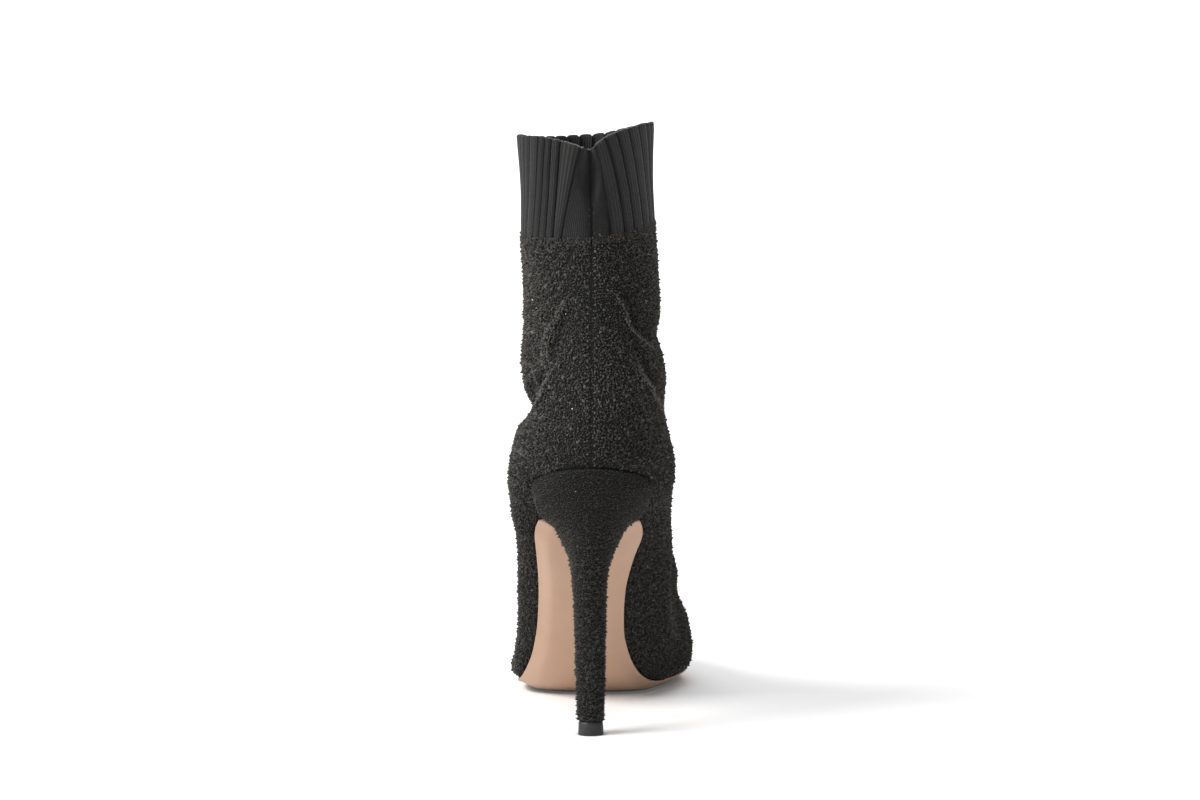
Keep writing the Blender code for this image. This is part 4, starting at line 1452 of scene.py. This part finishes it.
def add_rim_thread(rim, normals, material):
    """The thread along the rim's back edge."""
    back = (rim[:, 1] < CREASE_AXIS) & (rim[:, 0] > THREAD_REACH[0]) & (rim[:, 0] < THREAD_REACH[1])
    order = np.flatnonzero(back)
    order = order[np.argsort(rim[order, 0])]
    path = rim[order] - normals[order] * CUFF_WALL * THREAD_IN + np.array([0, 0, CUFF_WALL * THREAD_UP])
    path += rng.normal(0, THREAD_WOBBLE, path.shape)
    forward = unit(np.gradient(path, axis=0))
    side = unit(np.cross(forward, (0, 0, 1)))
    up = np.cross(side, forward)
    angles = np.arange(THREAD_SIDES) * 2 * math.pi / THREAD_SIDES
    rings = [path + THREAD_RADIUS * (up * math.sin(a) + side * math.cos(a)) for a in -angles]
    new_piece("rim_thread", *capped_rings(np.stack(rings, axis=1)), material, "rib_knit")


JOIN_BACK, JOIN_MEDIAL, JOIN_LATERAL = 1.9, 3.0, 1.9  # how far the boucle laps over the cuff's foot
JOIN_SUNK = 0.45
JOIN_BELOW, JOIN_ABOVE = 0.6, 0.4  # how far below that foot its rows start, and above the lap they end
JOIN_ROW_PITCH, JOIN_PITCH = 0.7, 0.85  # of its rows and of the strands in a row, in NUB_SPACING
JOIN_SHIFT, JOIN_UNEVEN, JOIN_WOBBLE = 0.6, 0.3, 0.15  # how unevenly strands, edge and places lie
ZIGZAG_PITCH = 1.5
ZIGZAG_ASIDE = 0.9
ZIGZAG_SIZE = 0.6
ZIGZAG_FROM, ZIGZAG_TOP = 0.6, 0.5  # lowest height, and highest share of the cuff's height
ZIGZAG_SHADES = (0.2, 0.4)


def add_cuff_details(outline, normals, yarn):
    """The boucle that laps over the cuff's foot, and the stitches of the cuff's seam."""
    across = outline[0, :, 0] / np.abs(outline[0, :, 0]).max()
    side = np.where(across > 0, JOIN_MEDIAL, JOIN_LATERAL)
    lap = JOIN_BACK + (side - JOIN_BACK) * across**2
    length = run_of(outline[0])
    places, facing = [], []
    for lift in np.arange(-JOIN_BELOW, JOIN_MEDIAL + JOIN_ABOVE, NUB_SPACING * JOIN_ROW_PITCH):
        marks = np.arange(0, length[-1], NUB_SPACING * JOIN_PITCH)
        marks += rng.uniform(0, JOIN_SHIFT, len(marks))
        picked = np.searchsorted(length, marks).clip(0, len(length) - 1)
        picked = picked[lift < lap[picked] + rng.normal(0, JOIN_UNEVEN, len(picked))]
        share = max(lift, 0) / CUFF_HEIGHT * CUFF_ROWS
        row = int(share)
        place = outline[row] + (outline[row + 1] - outline[row]) * (share - row)
        place[:, 2] += min(lift, 0)
        place = place - normals[row] * JOIN_SUNK
        places.append(place[picked] + rng.normal(0, JOIN_WOBBLE, (len(picked), 3)))
        facing.append(normals[row][picked])
    places, facing = np.vstack(places), np.vstack(facing)
    add_nubs("boucle_join", places, facing, 1.0, yarn_shades(len(places)), yarn, "boucle_knit")

    places, facing = [], []
    for k, lift in enumerate(np.arange(ZIGZAG_FROM, CUFF_HEIGHT * ZIGZAG_TOP, ZIGZAG_PITCH)):
        row = int(lift / CUFF_HEIGHT * CUFF_ROWS)
        aside = outline[row, 0, 0] + ZIGZAG_ASIDE * (-1) ** k
        behind = outline[row, :, 1] < CREASE_AXIS
        column = np.argmin(np.where(behind, np.abs(outline[row, :, 0] - aside), FAR_OUT))
        places.append(outline[row, column])
        facing.append(normals[row, column])
    places, facing = np.array(places), np.array(facing)
    shades = rng.uniform(*ZIGZAG_SHADES, len(places))
    add_nubs("cuff_stitches", places, facing, ZIGZAG_SIZE, shades, yarn, "rib_knit")


# Stage

CONTACT_REACH = 2.5  # how near the boot a painted contact shadow darkens the floor
# In metres: half the floor's side, how far the camera sees, and the lights' places
FLOOR_REACH = 12
CAMERA_REACH = 100
Light = namedtuple("Light", "name place angle power")
LIGHTS = rows_of(Light, ("key", (-2.25, -1.15, 2.2), 36, 3.35), ("overhead", (0, 0, 3), 60, 1.9))
WORLD_LEFT, WORLD_RIGHT = 0.45, 0.08  # the room's light from either side


def add_floor():
    material, tree, shader = new_material(
        "floor_white",
        Roughness=0.9,
        Specular_IOR_Level=0.1,
        Emission_Color=(1, 1, 1, 1),
        Emission_Strength=0.1,
    )
    mottle = noise(tree, scale=3)
    colour = ramp(tree, mottle, (0.0, (0.89, 0.89, 0.89)), (1.0, (0.91, 0.91, 0.91)))
    # painted contact shadow: ambient occlusion darkens the floor's colour near the boot
    inputs = {"Color": colour, "Distance": CONTACT_REACH * MM}
    contact = add_node(tree, "ShaderNodeAmbientOcclusion", inputs)
    tree.links.new(contact.outputs["Color"], shader.inputs["Base Color"])
    mesh = bpy.data.meshes.new("floor")
    signs = ((-1, -1), (1, -1), (1, 1), (-1, 1))
    corners = [(FLOOR_REACH * x, FLOOR_REACH * y, 0) for x, y in signs]
    mesh.from_pydata(corners, [], [(0, 1, 2, 3)])
    mesh.materials.append(material)
    floor = link_object("floor", mesh)


def to_frame(point):
    return (Vector(point) - Vector((BOX_MIDDLE_X, LENGTH / 2, 0))) * MM


def aim(made, place):
    """Puts a light or camera in its place and points it at the boot."""
    made.location = place
    made.rotation_euler = (to_frame(AIM) - Vector(place)).to_track_quat("-Z", "Y").to_euler()


def add_light(light):
    """Soft light from one side, the same all over the floor."""
    lamp = bpy.data.lights.new(light.name, "SUN")
    lamp.angle = math.radians(light.angle)
    lamp.energy = light.power
    aim(link_object(light.name, lamp), light.place)


def add_camera():
    """The photo's viewpoint, aimed at the boot."""
    lens = bpy.data.cameras.new("camera")
    lens.sensor_fit = "HORIZONTAL"
    lens.sensor_width = SENSOR
    lens.lens = PIXELS_PER_RADIAN / FRAME_WIDTH * SENSOR
    lens.clip_end = CAMERA_REACH
    camera = link_object("camera", lens)
    aim(camera, to_frame(CAMERA))
    bpy.context.scene.camera = camera


def add_world():
    world = bpy.data.worlds.new("studio")
    world.use_nodes = True
    tree = world.node_tree
    background = tree.nodes["Background"]
    background.inputs["Color"].default_value = (1, 1, 1, 1)
    direction = add_node(tree, "ShaderNodeTexCoord").outputs["Generated"]
    across = add_node(tree, "ShaderNodeSeparateXYZ", {"Vector": direction}).outputs["X"]
    limits = {"From Min": -1, "From Max": 1, "To Min": WORLD_LEFT, "To Max": WORLD_RIGHT}
    strength = add_node(tree, "ShaderNodeMapRange", {"Value": across, **limits})
    tree.links.new(strength.outputs["Result"], background.inputs["Strength"])
    bpy.context.scene.world = world
    bpy.context.scene.view_settings.view_transform = "Standard"


def main():
    foot = np.linspace(0, SEAT, SEAT * FOOT_ROWS, endpoint=False)
    ankle = np.linspace(SEAT, SHAFT_TOP, (SHAFT_TOP - SEAT) * ANKLE_ROWS + 1)
    indices = np.concatenate([foot, ankle])
    base = lattice(indices)
    normals = outward_normals(base)
    tree = surface_tree(base)
    lines = crease_lines(tree)
    points, inner = upper_surface(indices, base, normals, lines)
    heel_rim, heel_lips = seat_heel_rim(tree)

    yarn = yarn_material()
    ground = ground_material()
    add_upper(indices, points, inner, ground)
    add_boucle(indices, points, heel_rim, lines, yarn)
    add_heel(tree, heel_rim, heel_lips, ground, yarn)
    add_outsole(leather_material("sole_nude", *SOLE_LEATHER))
    add_insole(indices, base, normals, leather_material("insole_nude", *INSOLE_LEATHER))
    add_top_lift(rubber_material())
    outline, facing = add_cuff(rib_material(), thread_material())
    add_cuff_details(outline, facing, yarn)

    add_floor()
    for light in LIGHTS:
        add_light(light)
    add_camera()
    add_world()


main()
